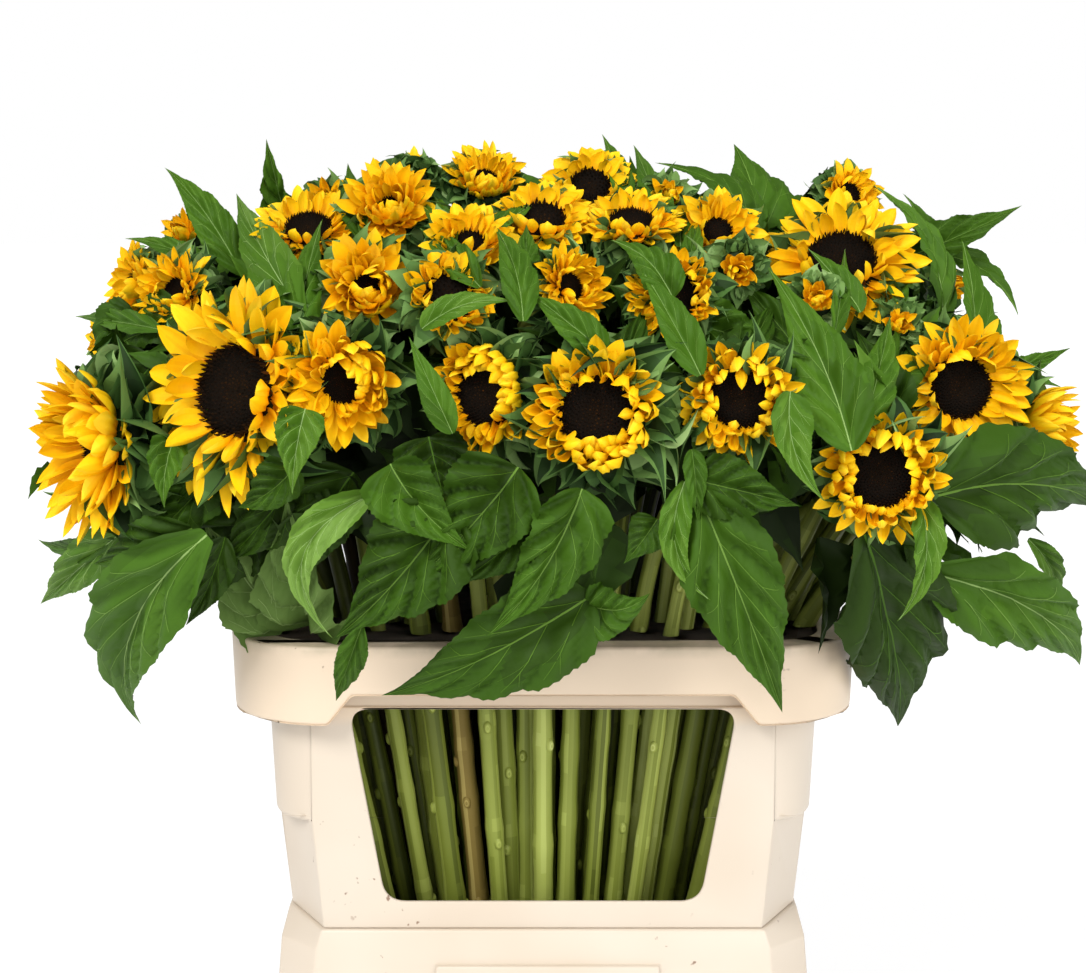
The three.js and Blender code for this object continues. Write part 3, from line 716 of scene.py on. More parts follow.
# Leaves that hang over the container.  Where the foot and the tip are: across,
# height, and distance before the dome; then width, sideways bow, outward bow,
# fold and tone
HANGING_LEAVES = [
    (-194, 468, 10, -278, 300, 0, 58, -20, 22, 0.15, "bright"),
    (-265, 450, -25, -345, 430, 0, 17, 4, 6, 0.3, "mid"),
    (-255, 460, -25, -345, 385, 0, 30, 0, 6, 0.35, "light"),
    (-210, 465, -22, -280, 435, -5, 38, 2, 6, 0.2, "dark"),
    (-218, 520, 0, -222, 480, 8, 24, 0, 6, 0.25, "bright"),
    (-160, 394, -86, -206, 470, -36, 58, 0, 6, 0.1, "under"),
    (-145, 394, -86, -150, 488, -24, 60, 0, 6, 0.12, "under"),
    (-190, 460, -30, -220, 400, -22, 26, 4, 4, 0.2, "deep"),
    (-168, 475, -60, -226, 410, -50, 50, 0, 4, 0.2, "deep"),
    (-140, 505, -45, -196, 440, -40, 54, 4, 6, 0.2, "deep"),
    (-112, 500, -50, -148, 424, -45, 50, -4, 6, 0.2, "deep"),
    (-176, 530, -30, -224, 476, -30, 46, 4, 6, 0.2, "deep"),
    (-196, 500, -40, -244, 452, -36, 46, 4, 6, 0.2, "dark"),
    (-240, 560, -30, -292, 512, -26, 50, 4, 6, 0.25, "deep"),
    (-262, 580, -30, -284, 552, -26, 44, -4, 6, 0.25, "dark"),
    (-226, 590, -20, -276, 566, -18, 40, 4, 6, 0.25, "dark"),
    (-232, 530, -22, -262, 486, -18, 36, -4, 6, 0.25, "dark"),
    (-96, 495, 10, -122, 408, 0, 24, -26, 24, 0.3, "pale"),
    (-105, 415, -8, -125, 360, -12, 18, 0, 6, 0.35, "mid"),
    (-52, 486, 0, -122, 406, -6, 64, 4, 12, 0.12, "dark"),
    (-86, 512, 18, -40, 463, 22, 42, -4, 10, 0.4, "mid"),
    (-14, 510, 6, -74, 444, 8, 58, 3, 8, 0.15, "dark"),
    (0, 487, -6, -55, 440, -8, 38, 4, 8, 0.15, "deep"),
    (-66, 524, -28, -52, 472, -30, 44, 0, 4, 0.2, "deep"),
    (22, 498, 8, -32, 412, 4, 48, 6, 12, 0.22, "mid"),
    (28, 432, -30, -98, 362, -28, 64, 0, 16, 0.12, "dark"),
    (25, 426, -32, 62, 434, -24, 34, -4, 8, 0.2, "mid"),
    (65, 480, 0, 46, 454, -4, 26, 0, 6, 0.2, "dark"),
    (25, 470, -30, 30, 440, -26, 16, 0, 3, 0.2, "deep"),
    (-135, 542, 14, -142, 494, 24, 28, 0, 8, 0.3, "light"),
    (-143, 507, -8, -178, 482, -8, 30, 4, 6, 0.2, "dark"),
    (88, 496, 4, 145, 352, 0, 58, 0, 16, 0.16, "mid"),
    (86, 502, 0, 147, 486, 0, 38, 0, 8, 0.15, "dark"),
    (80, 502, 12, 96, 433, 12, 18, -14, 10, 0.4, "light"),
    (84, 520, 12, 88, 476, 16, 14, 0, 4, 0.4, "mid"),
    (140, 552, 24, 160, 490, 26, 24, -10, 10, 0.45, "light"),
    (188, 466, -8, 246, 298, -2, 76, 2, 14, 0.12, "deep"),
    (220, 487, 12, 208, 414, 18, 20, 5, 12, 0.3, "light"),
    (230, 486, 6, 366, 458, 40, 76, 14, 18, 0.15, "dark"),
    (232, 436, -20, 370, 342, 0, 58, 16, 18, 0.14, "bright"),
    (310, 445, 0, 350, 386, 6, 16, 4, 6, 0.4, "light"),
    (215, 460, -14, 240, 426, -12, 26, 4, 4, 0.2, "deep"),
]
# Leaves that stand up among the blooms, in the same terms
CROWN_LEAVES = [
    (-205, 626, 0, -252, 681, 0, 26, -4, 6, 0.25, "bright"),
    (-152, 606, 8, -204, 664, 4, 32, 2, 8, 0.2, "light"),
    (-174, 646, -20, -184, 700, 0, 26, 0, 4, 0.25, "bright"),
    (-142, 588, 14, -138, 648, 18, 26, 0, 6, 0.3, "bright"),
    (-116, 645, -6, -130, 684, 0, 18, 0, 3, 0.25, "mid"),
    (-225, 616, -4, -280, 634, 0, 16, -4, 4, 0.25, "bright"),
    (-252, 580, 0, -315, 582, 0, 16, 0, 4, 0.3, "bright"),
    (-56, 540, 20, -76, 583, 22, 18, 0, 6, 0.3, "bright"),
    (-44, 616, 12, -75, 643, 10, 20, 0, 5, 0.3, "bright"),
    (-58, 640, 6, -80, 668, 4, 16, 0, 3, 0.3, "bright"),
    (-15, 602, 20, -30, 645, 18, 22, -4, 8, 0.3, "bright"),
    (-10, 615, 8, -10, 645, 6, 18, 0, 3, 0.3, "bright"),
    (-30, 645, 14, -4, 660, 8, 12, -4, 3, 0.3, "bright"),
    (26, 580, 22, -10, 608, 20, 22, 0, 6, 0.3, "bright"),
    (-58, 590, 24, -15, 602, 22, 16, 5, 6, 0.3, "light"),
    (68, 610, 18, 40, 636, 14, 26, -4, 6, 0.25, "bright"),
    (82, 574, 24, 54, 624, 20, 22, 0, 6, 0.35, "bright"),
    (52, 664, 4, 39, 703, 4, 15, 0, 3, 0.3, "bright"),
    (72, 652, 4, 60, 696, 4, 20, 0, 3, 0.25, "bright"),
    (124, 650, 4, 74, 684, 8, 24, -8, 5, 0.25, "mid"),
    (142, 640, -30, 128, 697, -12, 60, 0, 6, 0.12, "mid"),
    (178, 650, -20, 190, 682, 0, 16, 0, 3, 0.3, "deep"),
    (250, 600, -6, 214, 673, 0, 24, -15, 6, 0.3, "bright"),
    (262, 618, -16, 240, 664, 0, 26, -4, 4, 0.2, "mid"),
    (255, 625, -16, 320, 656, 0, 30, -4, 6, 0.25, "mid"),
    (275, 566, 2, 280, 634, 0, 26, 0, 5, 0.3, "bright"),
    (280, 615, -10, 320, 582, 0, 22, 8, 5, 0.25, "mid"),
    (305, 545, -8, 356, 561, 0, 15, 0, 3, 0.3, "bright"),
    (168, 538, 14, 134, 620, 16, 42, -3, 8, 0.2, "bright"),
    (190, 542, 10, 210, 590, 12, 26, 0, 5, 0.25, "bright"),
    (174, 590, 16, 190, 630, 18, 12, 0, 3, 0.35, "bright"),
    (185, 600, 12, 163, 630, 12, 18, 0, 4, 0.3, "bright"),
    (86, 620, 8, 96, 650, 6, 14, 0, 3, 0.3, "bright"),
    (84, 640, -8, 88, 674, 0, 22, 0, 4, 0.2, "bright"),
    (220, 600, 14, 224, 620, 14, 15, 4, 3, 0.3, "bright"),
    (112, 556, -22, 140, 600, -20, 42, 0, 4, 0.3, "dark"),
    (150, 572, -24, 118, 612, -20, 34, 0, 4, 0.3, "dark"),
    (96, 584, -22, 142, 570, -22, 36, 0, 4, 0.3, "mid"),
    (206, 540, -18, 190, 582, -20, 36, 0, 4, 0.3, "dark"),
    (212, 556, -14, 238, 592, -14, 32, 0, 4, 0.3, "mid"),
    (40, 552, -10, 62, 600, -8, 38, 0, 4, 0.3, "dark"),
]
FOREMOST, PRESSED = 222, 0.6   # depth from which front leaves are pressed back, and share
# Shares of the leaf ramp for each tone, partly the leaves' own colour and partly painted light and
# shade: the darker tones are painted shade for leaves that stand back in the crown or under
# others, the brighter ones painted light for leaves on the lit crown
TONES = {"deep": 0.29, "dark": 0.38, "mid": 0.48, "bright": 0.56, "light": 0.64, "pale": 0.77}


def placed_leaves(rows, hidden=0.0):
    """Leaves from rows of a table.  Hidden is how far each leaf goes on below
    its foot, into the crown, by its length."""
    table = np.array([row[:10] for row in rows], float)
    start = dome_point(table[:, 0], table[:, 1], table[:, 2])
    tip = dome_point(table[:, 3], table[:, 4], table[:, 5])
    start = start - hidden * (tip - start) + 30 * hidden * np.array([0, 1, 0])
    face = dome_normal((start + tip) / 2) + [0, -1.2, 0]
    chord = unit(tip - start)
    left = unit(np.cross(face, chord))
    middle = (start + tip) / 2 + 2 * table[:, 7:8] * left + 2 * table[:, 8:9] * unit(face)
    for points in (start, tip, middle):
        beyond = np.maximum(-points[:, 1] - FOREMOST, 0)
        points[:, 1] += PRESSED * beyond
    return Leaves(start, middle, tip, unit(face), table[:, 6], 1.4 * table[:, 9],
                  rng.normal(0, 0.12, len(rows)), rng.normal(0, 0.3, len(rows)))


OUTWARD = 0.7              # how much a stem's leaves turn outward
HIGHEST = 0.98             # of a stem's length above the rim, where leaves end
UNDER_BEARINGS = (-24, 228)   # the first, and the sweep by the back, in degrees
UNDER_HALF = (300, 215)    # half sizes of the plan in which the under leaves start


def leaf_from(anchor, turn, size):
    """Foot, middle, tip, face and width of a leaf that grows from a stem."""
    outward = anchor * [1, 1.3, 0]
    outward = unit(outward) if np.linalg.norm(outward) > 1 else np.array([0, -1.0, 0])
    heading = unit(np.array([math.cos(turn), math.sin(turn), 0]) + OUTWARD * outward)
    length = size * rng.uniform(0.6, 1.25)
    climb = rng.uniform(-0.5, 0.9)
    foot = anchor + heading * length * 0.25 + [0, 0, 0.15 * length]
    tip = foot + unit(heading + [0, 0, climb]) * length
    middle = (foot + tip) / 2 + [0, 0, 0.16 * length]
    return foot, middle, tip, unit(0.6 * heading + [0, 0, 1.0]), length * rng.uniform(0.36, 0.58)


def stem_leaves(paths, each, low, size):
    """Leaves that grow from the upper parts of stems, in a spiral up each."""
    grown, anchors = [], []
    for path in paths:
        line = smooth_path(path, 6)
        top = line[line[:, 2] > RIM - 10]
        first_turn = rng.uniform(0, 2 * np.pi)
        for k in range(each):
            share = low + (HIGHEST - low) * (k + rng.uniform(0.1, 0.9)) / each
            anchors.append(top[int(share * (len(top) - 1))])
            grown.append(leaf_from(anchors[-1], first_turn + 2.4 * k, size))
    count = len(grown)
    leaves = Leaves(*map(np.array, zip(*grown)), rng.uniform(0.1, 0.4, count),
                    rng.normal(0, 0.3, count), rng.normal(0, 0.5, count))
    return leaves, np.array(anchors)


def under_leaves(count, lowest):
    """Leaves low round the sides and back of the crown, hanging from between the stems."""
    first, sweep = UNDER_BEARINGS
    bearing = np.radians(first + sweep * (np.arange(count) + rng.uniform(0, 1, count)) / count)
    height = lowest + rng.uniform(0, 65, count)
    reach = rng.uniform(0.62, 0.86, count)
    cos, sin = np.cos(bearing), np.sin(bearing)
    wide, deep = UNDER_HALF
    start = np.stack([reach * wide * cos, reach * deep * sin, height], axis=1)
    out = np.stack([cos, sin, np.zeros(count)], axis=1)
    length = rng.uniform(70, 110, count)[:, None]
    drop = rng.uniform(0.3, 1.1, count)[:, None] * [0, 0, -1]
    tip = start + unit(out + drop) * length
    middle = (start + tip) / 2 + 0.2 * length * unit(out + [0, 0, 1.0])
    width = length[:, 0] * rng.uniform(0.5, 0.66, count)
    return Leaves(start, middle, tip, unit(out + [0, 0, 0.6]), width,
                  rng.uniform(0.1, 0.3, count), rng.normal(0, 0.2, count),
                  rng.normal(0, 0.4, count))


def shell_leaves(count, lowest, scale, size, narrow, lift):
    """Leaves spread evenly over the crown from the lowest height up.  Scale is
    the range of the crown's size at which they start and narrow that of their
    width by length.  Their tips point along the crown, and away by lift."""
    k = np.arange(count) + 0.5
    up = 1 - k / count * (1 - (lowest - DOME["centre"]) / DOME["z"])
    turn = GOLDEN_ANGLE * k
    flat = np.sqrt(np.maximum(1 - up ** 2, 0))
    way = np.stack([flat * np.cos(turn), flat * np.sin(turn), up], axis=1)
    start = DOME_MIDDLE + way * DOME_HALF * rng.uniform(*scale, count)[:, None]
    out = dome_normal(start)
    along = unit(np.cross(out, rng.normal(0, 1, (count, 3))) + [0, 0, 0.4])
    length = size * rng.uniform(0.7, 1.3, count)[:, None]
    heading = unit(along + lift * rng.uniform(0.4, 1.6, (count, 1)) * out)
    tip = start + heading * length
    middle = (start + tip) / 2 + 0.12 * length * out
    return Leaves(start, middle, tip, unit(out + 0.3 * rng.normal(0, 1, (count, 3))),
                  length[:, 0] * rng.uniform(*narrow, count), rng.uniform(0.1, 0.5, count),
                  rng.normal(0, 0.4, count), rng.normal(0, 0.8, count))


# Depth and height: a small leaf whose tip is before and below one of these pairs
# would cover the placed leaves
LOW_FRONT = [(-150, 520), (-40, 440)]


def within_crown(leaves, room=1.0):
    """Marks the leaves that keep to the crown's own shape and don't come before
    the placed leaves at the foot of its near side."""
    size = DOME_HALF * [1.04, 1.04, 0.99] * room
    inside = np.linalg.norm((leaves.tip - DOME_MIDDLE) / size, axis=1) < 1
    for depth, height in LOW_FRONT:
        inside &= (leaves.tip[:, 1] >= depth) | (leaves.tip[:, 2] >= height)
    return inside


TO_VIEWER = np.array([0.0, -0.99, 0.14])


def clear_of(leaves, blooms):
    """Marks the leaves that don't stand before a bloom, along its axis or, on
    the near side, towards the viewer."""
    free = np.ones(len(leaves.start), bool)
    along, across = np.meshgrid([0.0, 0.3, 0.6, 1.0], [-0.7, 0.0, 0.7])
    points = leaves.at(across.reshape(1, -1), along.reshape(1, -1))
    for bloom in blooms:
        offset = points - bloom["centre"]
        ways = [bloom["axis"]]
        if bloom["centre"][1] < 0:
            ways.append(TO_VIEWER)
        for way in ways:
            ahead = offset @ way
            away = np.linalg.norm(offset - ahead[..., None] * way, axis=-1)
            before = (ahead > -0.1 * bloom["width"]) & (away < 0.5 * bloom["width"])
            free &= ~before.any(axis=1)
    return free


# ---- stems

STEM_SIDES = 12
STEM_SPACING = 9           # from one ring of points to the next
NODE_SPACING = 62          # from one swollen node to the next
# A scar's rings: half breadth of each and how far it stands from the stem
SCAR_RINGS = [(2.9, -0.9), (2.2, 0.8), (1.5, 1.5), (0.8, 1.6), (0.1, 1.5)]
SCAR_STRETCH = 1.7         # of a scar's length along the stem by that across


def add_stem(pile, path, radius, brightness, first=0):
    """A ridged stem with swollen nodes and leaf scars, coloured from the ramp
    that starts at material number first."""
    line = smooth_path(path, STEM_SPACING)
    along = unit(np.gradient(line, axis=0))
    side = unit(np.cross(along, [0.2, 1.0, 0.1]))
    up = np.cross(along, side)
    travelled = STEM_SPACING * np.arange(len(line))
    total = travelled[-1]
    nodes = np.arange(rng.uniform(30, 90), total - 20, NODE_SPACING)
    nodes = nodes + rng.uniform(-15, 15, len(nodes))
    swell = np.exp(-((travelled[:, None] - nodes) / 8) ** 2).sum(axis=1)
    taper = radius * (1 - 0.25 * travelled / total) * (1 + 0.13 * swell)
    angle = 2 * np.pi * np.arange(STEM_SIDES) / STEM_SIDES
    phase = rng.uniform(0, 2 * np.pi, 3)
    ridges = 1 + 0.035 * np.cos(6 * angle + phase[0]) + 0.02 * np.cos(4 * angle + phase[1])
    wobble = 0.25 * np.sin(travelled[:, None] / 37 + angle + phase[2])
    size = taper[:, None] * ridges + wobble
    ring = side[:, None] * np.cos(angle)[:, None] + up[:, None] * np.sin(angle)[:, None]
    grid = (line[:, None] + size[..., None] * ring)[None]
    streak = (0.5 * np.sin(3 * angle + phase[0]) + 0.5 * np.sin(5 * angle + phase[1])
              + 0.25 * np.sin(travelled[:-1, None] / 60 + 2 * angle + phase[2]))
    streak = streak + rng.normal(0, 0.7, STEM_SIDES)
    ring_mark = 0.08 * np.clip(swell[:-1, None] - 0.6, 0, 1)
    pile.add(grid, first + pick(brightness + 0.1 * streak + ring_mark)[None], closed=True)
    for n in nodes:
        row = int(n / STEM_SPACING)
        tones = first + pick(brightness + np.array([0.02, 0.1, 0.2, 0.08]))
        add_scar(pile, line, side, up, row, taper, rng.uniform(0, 2 * np.pi), tones)


def add_scar(pile, line, side, up, row, taper, turn, tones):
    """The oval stub that a cut leaf leaves on a stem."""
    if row >= len(line) - 2 or row < 1:
        return
    along = unit(line[row + 1] - line[row - 1])
    out = math.cos(turn) * side[row] + math.sin(turn) * up[row]
    across = np.cross(along, out)
    angle = 2 * np.pi * np.arange(10) / 10
    rings = []
    for reach, stand in SCAR_RINGS:
        centre = line[row] + out * (taper[row] + stand)
        rings.append(centre + reach * (np.cos(angle)[:, None] * across
                                       + SCAR_STRETCH * np.sin(angle)[:, None] * along))
    pile.add(np.array(rings)[None], tones[None, :, None], closed=True)


# ---- container

# Half sizes in plan, corner radii and heights: the band about the rim, the
# collar's rounded upper tier, and the joint where its foot sits in the bucket
WALL = 3
BAND_HALF, BAND_RADIUS, BAND_LOW = (200, 150), 66, 338
BAND_DRAFT = 1.5           # by which its lower edge is narrower all round
UPPER_HALF, UPPER_FOOT_HALF, UPPER_RADIUS = (177.5, 132), (172.5, 129.5), 38
TIER = 270                 # height at which the upper tier starts
JOINT, JOINT_HALF, JOINT_CUT = 200, (165.5, 127), (26, 50)
WINDOW_HEIGHTS, WINDOW_HALF, WINDOW_RADIUS = (218, 344), (100, 121.5), 13
NOTCH = [(-137, 333), (137, 333), (118, 357), (-118, 357)]
THROUGH_FRONT = (-170, -60)   # depths between which the near wall is cut
SHARP = 24                 # angle in degrees from which an edge is rounded
PLASTIC = 0xD1BCB0         # the container's plain colour, under its pattern


def shrink(half, by):
    return (half[0] - by, half[1] - by)


def rounded_outline(half, radius):
    corner = np.radians(np.linspace(0, 90, 13))
    points = []
    for quarter, (sx, sy) in enumerate([(1, -1), (1, 1), (-1, 1), (-1, -1)]):
        turn = corner + math.radians(90 * (quarter - 1))
        points += [(sx * (half[0] - radius) + radius * math.cos(a),
                    sy * (half[1] - radius) + radius * math.sin(a)) for a in turn]
    return np.array(points)


def cut_outline(half, cut):
    (x, y), (cx, cy) = half, cut
    corner = [(x - cx, -y), (x, cy - y), (x, y - cy), (x - cx, y)]
    return np.array(corner + [(-px, -py) for px, py in corner])


def level(outline, height):
    return np.column_stack([outline, np.full(len(outline), height)])


def round_ring(half, inset, radius, height):
    return level(rounded_outline(shrink(half, inset), radius), height)


def cut_rings(sizes, cut=JOINT_CUT):
    """Rings with their corners cut off, from pairs of half sizes and height."""
    return [level(cut_outline(half, cut), height) for half, height in sizes]


def body(rings):
    """A closed mesh object through rings of equal counts, from the lowest up or
    from the farthest to the nearest."""
    count = len(rings[0])
    points = np.concatenate(rings) * MM
    faces = [list(range(count))[::-1], list(range(len(points) - count, len(points)))]
    for r in range(len(rings) - 1):
        for i in range(count):
            j = (i + 1) % count
            faces.append([r * count + i, r * count + j, (r + 1) * count + j, (r + 1) * count + i])
    mesh = bpy.data.meshes.new("part")
    mesh.from_pydata(points.tolist(), [], faces)
    piece = bpy.data.objects.new("part", mesh)
    bpy.context.scene.collection.objects.link(piece)
    return piece


def prism(outline, near, far):
    """A body through the front wall from an outline of (across, height)."""
    outline = np.asarray(outline, float)
    rings = [np.column_stack([outline[:, 0], np.full(len(outline), y), outline[:, 1]])
             for y in (far, near)]
    return body(rings)


def settle(piece):
    """Turns the piece's modifiers into mesh."""
    graph = bpy.context.evaluated_depsgraph_get()
    graph.update()
    piece.data = bpy.data.meshes.new_from_object(piece.evaluated_get(graph))
    piece.modifiers.clear()


def combine(piece, other, operation):
    change = piece.modifiers.new("change", "BOOLEAN")
    change.operation, change.solver, change.object = operation, "EXACT", other
    bpy.context.view_layer.update()
    settle(piece)
    bpy.data.objects.remove(other)
    return piece


def round_edges(piece, width, share_of):
    """Rounds the sharp edges by width times share_of(x, y of the edge's middle)."""
    work = bmesh.new()
    work.from_mesh(piece.data)
    bmesh.ops.remove_doubles(work, verts=work.verts, dist=0.02 * MM)
    bmesh.ops.dissolve_limit(work, angle_limit=math.radians(0.4), verts=work.verts,
                             edges=work.edges)
    weight = work.edges.layers.float.new("bevel_weight_edge")
    for edge in work.edges:
        if edge.is_manifold and edge.calc_face_angle(0) > math.radians(SHARP):
            middle = (edge.verts[0].co + edge.verts[1].co) / 2 / MM
            edge[weight] = share_of(middle.x, middle.y)
    work.to_mesh(piece.data)
    work.free()
    bevel = piece.modifiers.new("round", "BEVEL")
    bevel.limit_method, bevel.width, bevel.segments = "WEIGHT", width * MM, 3
    bevel.use_clamp_overlap = False
    bpy.context.view_layer.update()
    settle(piece)
    piece.data.shade_smooth()
    piece.data.set_sharp_from_angle(angle=math.radians(35))


def window_outline():
    """The window is wider at its top and has rounded corners."""
    (low, high), (narrow, wide) = WINDOW_HEIGHTS, WINDOW_HALF
    corner = np.array([(-narrow, low), (narrow, low), (wide, high), (-wide, high)])
    points = []
    for i in range(4):
        here, before, after = corner[i], corner[i - 1], corner[(i + 1) % 4]
        a = here + WINDOW_RADIUS * unit(before - here)
        b = here + WINDOW_RADIUS * unit(after - here)
        points += [bent(a, here, b, t) for t in np.linspace(0, 1, 9)]
    return np.array(points)


def collar_band():
    """The thick band about the rim, open below and with a notch over the window."""
    inside = BAND_RADIUS - WALL
    band = body([round_ring(BAND_HALF, BAND_DRAFT, BAND_RADIUS, BAND_LOW),
                 round_ring(BAND_HALF, 0, BAND_RADIUS, RIM)])
    combine(band, body([round_ring(BAND_HALF, BAND_DRAFT + WALL, inside, BAND_LOW - 5),
                        round_ring(BAND_HALF, WALL, inside, RIM - WALL)]), "DIFFERENCE")
    return combine(band, prism(NOTCH, *THROUGH_FRONT), "DIFFERENCE")


def collar_mesh():
    """The collar, with its band's edges rounded more than the others."""
    wide, deep = UPPER_FOOT_HALF
    inside = UPPER_RADIUS - WALL
    piece = body([round_ring(UPPER_FOOT_HALF, 1.2, UPPER_RADIUS, TIER),
                  round_ring(UPPER_FOOT_HALF, 0, UPPER_RADIUS, TIER + 2.5),
                  round_ring(UPPER_HALF, 0, UPPER_RADIUS, RIM - 0.5)])
    combine(piece, body(cut_rings([(JOINT_HALF, JOINT), ((wide - 1, deep + 0.25), TIER + 1),
                                   ((wide - 1, deep + 1.85), BAND_LOW + 8)])), "UNION")
    combine(piece, collar_band(), "UNION")
    combine(piece, body(cut_rings([(shrink(JOINT_HALF, WALL), JOINT - 1),
                                   ((wide - 1 - WALL, deep - WALL), TIER + WALL + 1)])),
            "DIFFERENCE")
    combine(piece, body([round_ring(UPPER_FOOT_HALF, WALL, inside, TIER + WALL),
                         round_ring(UPPER_HALF, WALL, inside, RIM + 1)]), "DIFFERENCE")
    combine(piece, prism(window_outline(), *THROUGH_FRONT), "DIFFERENCE")
    round_edges(piece, 2.6, lambda x, y: 1.0 if abs(x) > 180 or abs(y) > 134 else 0.45)
    return piece


# The bucket's outside and inside below the throat that takes the collar's foot,
# as half sizes and heights, and the panel's corners and depths on its near side
BUCKET_CUT = (25, 25)
BUCKET_OUTSIDE = [((152, 112), 0), ((160.5, 123), 142), ((173, 134), 144), ((169.5, 131.5), 187)]
BUCKET_INSIDE = [((148, 108), 4), ((156.5, 119), 147), ((169, 130), 150), ((165.5, 127.5), 185)]
PANEL = [(-70, 150), (76, 150), (74, 178), (-68, 178)]
PANEL_DEPTHS = (-136, -120)


def bucket_mesh():
    piece = body(cut_rings(BUCKET_OUTSIDE, BUCKET_CUT) + cut_rings([((167, 129), JOINT - 0.3)]))
    throat = [((158.5, 120), 196), ((158.5, 120), 207)]
    combine(piece, body(cut_rings(BUCKET_INSIDE, BUCKET_CUT) + cut_rings(throat)), "DIFFERENCE")
    combine(piece, prism(PANEL, *PANEL_DEPTHS), "UNION")
    round_edges(piece, 1.6, lambda x, y: 1.0)
    return piece


def add_node(tree, kind, inputs, **settings):
    """A shader node with its settings made, and its inputs linked or set.
    Gives the node's outputs."""
    node = tree.nodes.new("ShaderNode" + kind)
    for name, value in settings.items():
        setattr(node, name, value)
    for name, value in inputs.items():
        if isinstance(value, bpy.types.NodeSocket):
            tree.links.new(value, node.inputs[name])
        else:
            node.inputs[name].default_value = value
    return node.outputs


def cream_plastic():
    """Cream plastic with faint clouds, dust by the rim and a few brown specks, and its band
    painted lighter and warmer as painted light.
    """
    material = paint("cream_plastic", PLASTIC, 0.42)
    tree = material.node_tree
    place = add_node(tree, "TexCoord", {})["Object"]
    height = add_node(tree, "SeparateXYZ", {"Vector": place})["Z"]

    def stretch(value, low, high):
        ends = {"Value": value, "From Min": low, "From Max": high}
        return add_node(tree, "MapRange", ends)["Result"]

    def clouds(scale, detail, low, high):
        noise = add_node(tree, "TexNoise", {"Vector": place, "Scale": scale, "Detail": detail})
        return stretch(noise["Fac"], low, high)

    def times(a, b):
        return add_node(tree, "Math", {0: a, 1: b}, operation="MULTIPLY")["Value"]

    def blend(amount, under, over):
        ends = {"Factor": amount, "A": under, "B": linear(over)}
        return add_node(tree, "Mix", ends, data_type="RGBA")["Result"]

    colour = blend(clouds(9, 2, 0.4, 0.7), linear(0xD0C3B2), 0xCABBA8)
    # Painted light: above 0.340 m the band and rim are lighter and warmer, standing for warm
    # bounced light on them in the crown's shade
    colour = blend(stretch(height, 0.333, 0.340), colour, 0xDCC8AF)
    dust = times(stretch(height, 0.380, 0.3875), clouds(45, 4, 0.38, 0.62))
    colour = blend(times(dust, 0.55), colour, 0x9A8F74)
    specks = times(clouds(160, 2, 0.70, 0.76), clouds(14, 1, 0.52, 0.60))
    colour = blend(times(specks, 0.8), colour, 0x6E4A2E)
    tree.links.new(colour, tree.nodes["Principled BSDF"].inputs["Base Color"])
    return material


def build_container():
    plastic = cream_plastic()
    for name, make, node in (("collar_shell", collar_mesh, "collar"),
                             ("bucket_shell", bucket_mesh, "bucket")):
        piece = make()
        mesh = piece.data
        mesh.materials.clear()
        mesh.materials.append(plastic)
        mesh.polygons.foreach_set("material_index", np.zeros(len(mesh.polygons), np.int32))
        bpy.data.objects.remove(piece)
        finish_piece(name, mesh, [node])


# ---- stage
WHITE = (1, 1, 1, 1)
# Name, turn from straight ahead, tilt, strength and width as seen from the plant
SUNS = [("key", -30, 42, 2.25, 24), ("fill", 34, 20, 1.4, 50)]


def build_floor():
    bpy.ops.mesh.primitive_plane_add(size=60)
    floor = bpy.context.object
    floor.name = "floor"
    white = paint("floor_white", 0x8C8C8C, 0.9, 0.0)
    glow = white.node_tree.nodes["Principled BSDF"]
    glow.inputs["Emission Color"].default_value = WHITE
    glow.inputs["Emission Strength"].default_value = 0.85
    floor.data.materials.append(white)


def build_stage():
    """White surroundings, dimmer overhead, and two soft suns."""
    scene = bpy.context.scene
    scene.view_settings.view_transform = "Standard"
    scene.view_settings.look = "None"
    build_floor()
    world = bpy.data.worlds.new("studio")
    scene.world = world
    world.use_nodes = True
    tree = world.node_tree
    way = add_node(tree, "TexCoord", {})["Generated"]
    upward = add_node(tree, "SeparateXYZ", {"Vector": way})["Z"]
    strength = add_node(tree, "MapRange", {"Value": upward, "From Min": 0.15, "From Max": 0.55,
                                           "To Min": 1.0, "To Max": 0.35})["Result"]
    surroundings = tree.nodes["Background"]
    tree.links.new(strength, surroundings.inputs["Strength"])
    surroundings.inputs["Color"].default_value = WHITE
    for name, turn, tilt, energy, angle in SUNS:
        lamp = bpy.data.lights.new(name, "SUN")
        lamp.energy, lamp.angle = energy, math.radians(angle)
        light = bpy.data.objects.new(name, lamp)
        light.rotation_euler = Euler((math.radians(90 - tilt), 0, math.radians(turn)))
        scene.collection.objects.link(light)


def add_camera():
    """Stands 1.37 m before the container's middle, above its rim, looking slightly down."""
    data = bpy.data.cameras.new("camera")
    data.sensor_width, data.lens = 36, 67.36
    camera = bpy.data.objects.new("camera", data)
    camera.location = (0, -1.370, 0.659)
    camera.rotation_euler = Euler((math.radians(90 - 8), 0, 0))
    bpy.context.scene.collection.objects.link(camera)
    bpy.context.scene.camera = camera


# ---- the whole

def reseed(seed):
    """Starts the random numbers anew, so that each kind of piece has its own."""
    rng.bit_generator.state = np.random.default_rng(seed).bit_generator.state


def packed_blooms(nodes):
    """The large blooms and the centrelines of their stems."""
    blooms, stems = [], []
    for name in sorted(n[6:] for n in nodes if n.startswith("bloom_")):
        bloom = bloom_from(nodes["bloom_" + name])
        back_style = (("open", "curled")[len(blooms) % 2], 90, 14)
        bloom["style"], bloom["bearing"], bloom["close"] = LARGE_STYLES.get(name, back_style)
        shift, growth = STANDS_CLEAR.get(name, ((0, 0, 0), 1.0))
        bloom["centre"] = bloom["centre"] + shift
        bloom["width"] *= growth
        bloom["near"] = name in LARGE_STYLES
        blooms.append(bloom)
        stems.append(stem_from(nodes["stem_" + name]))
    return blooms, stems


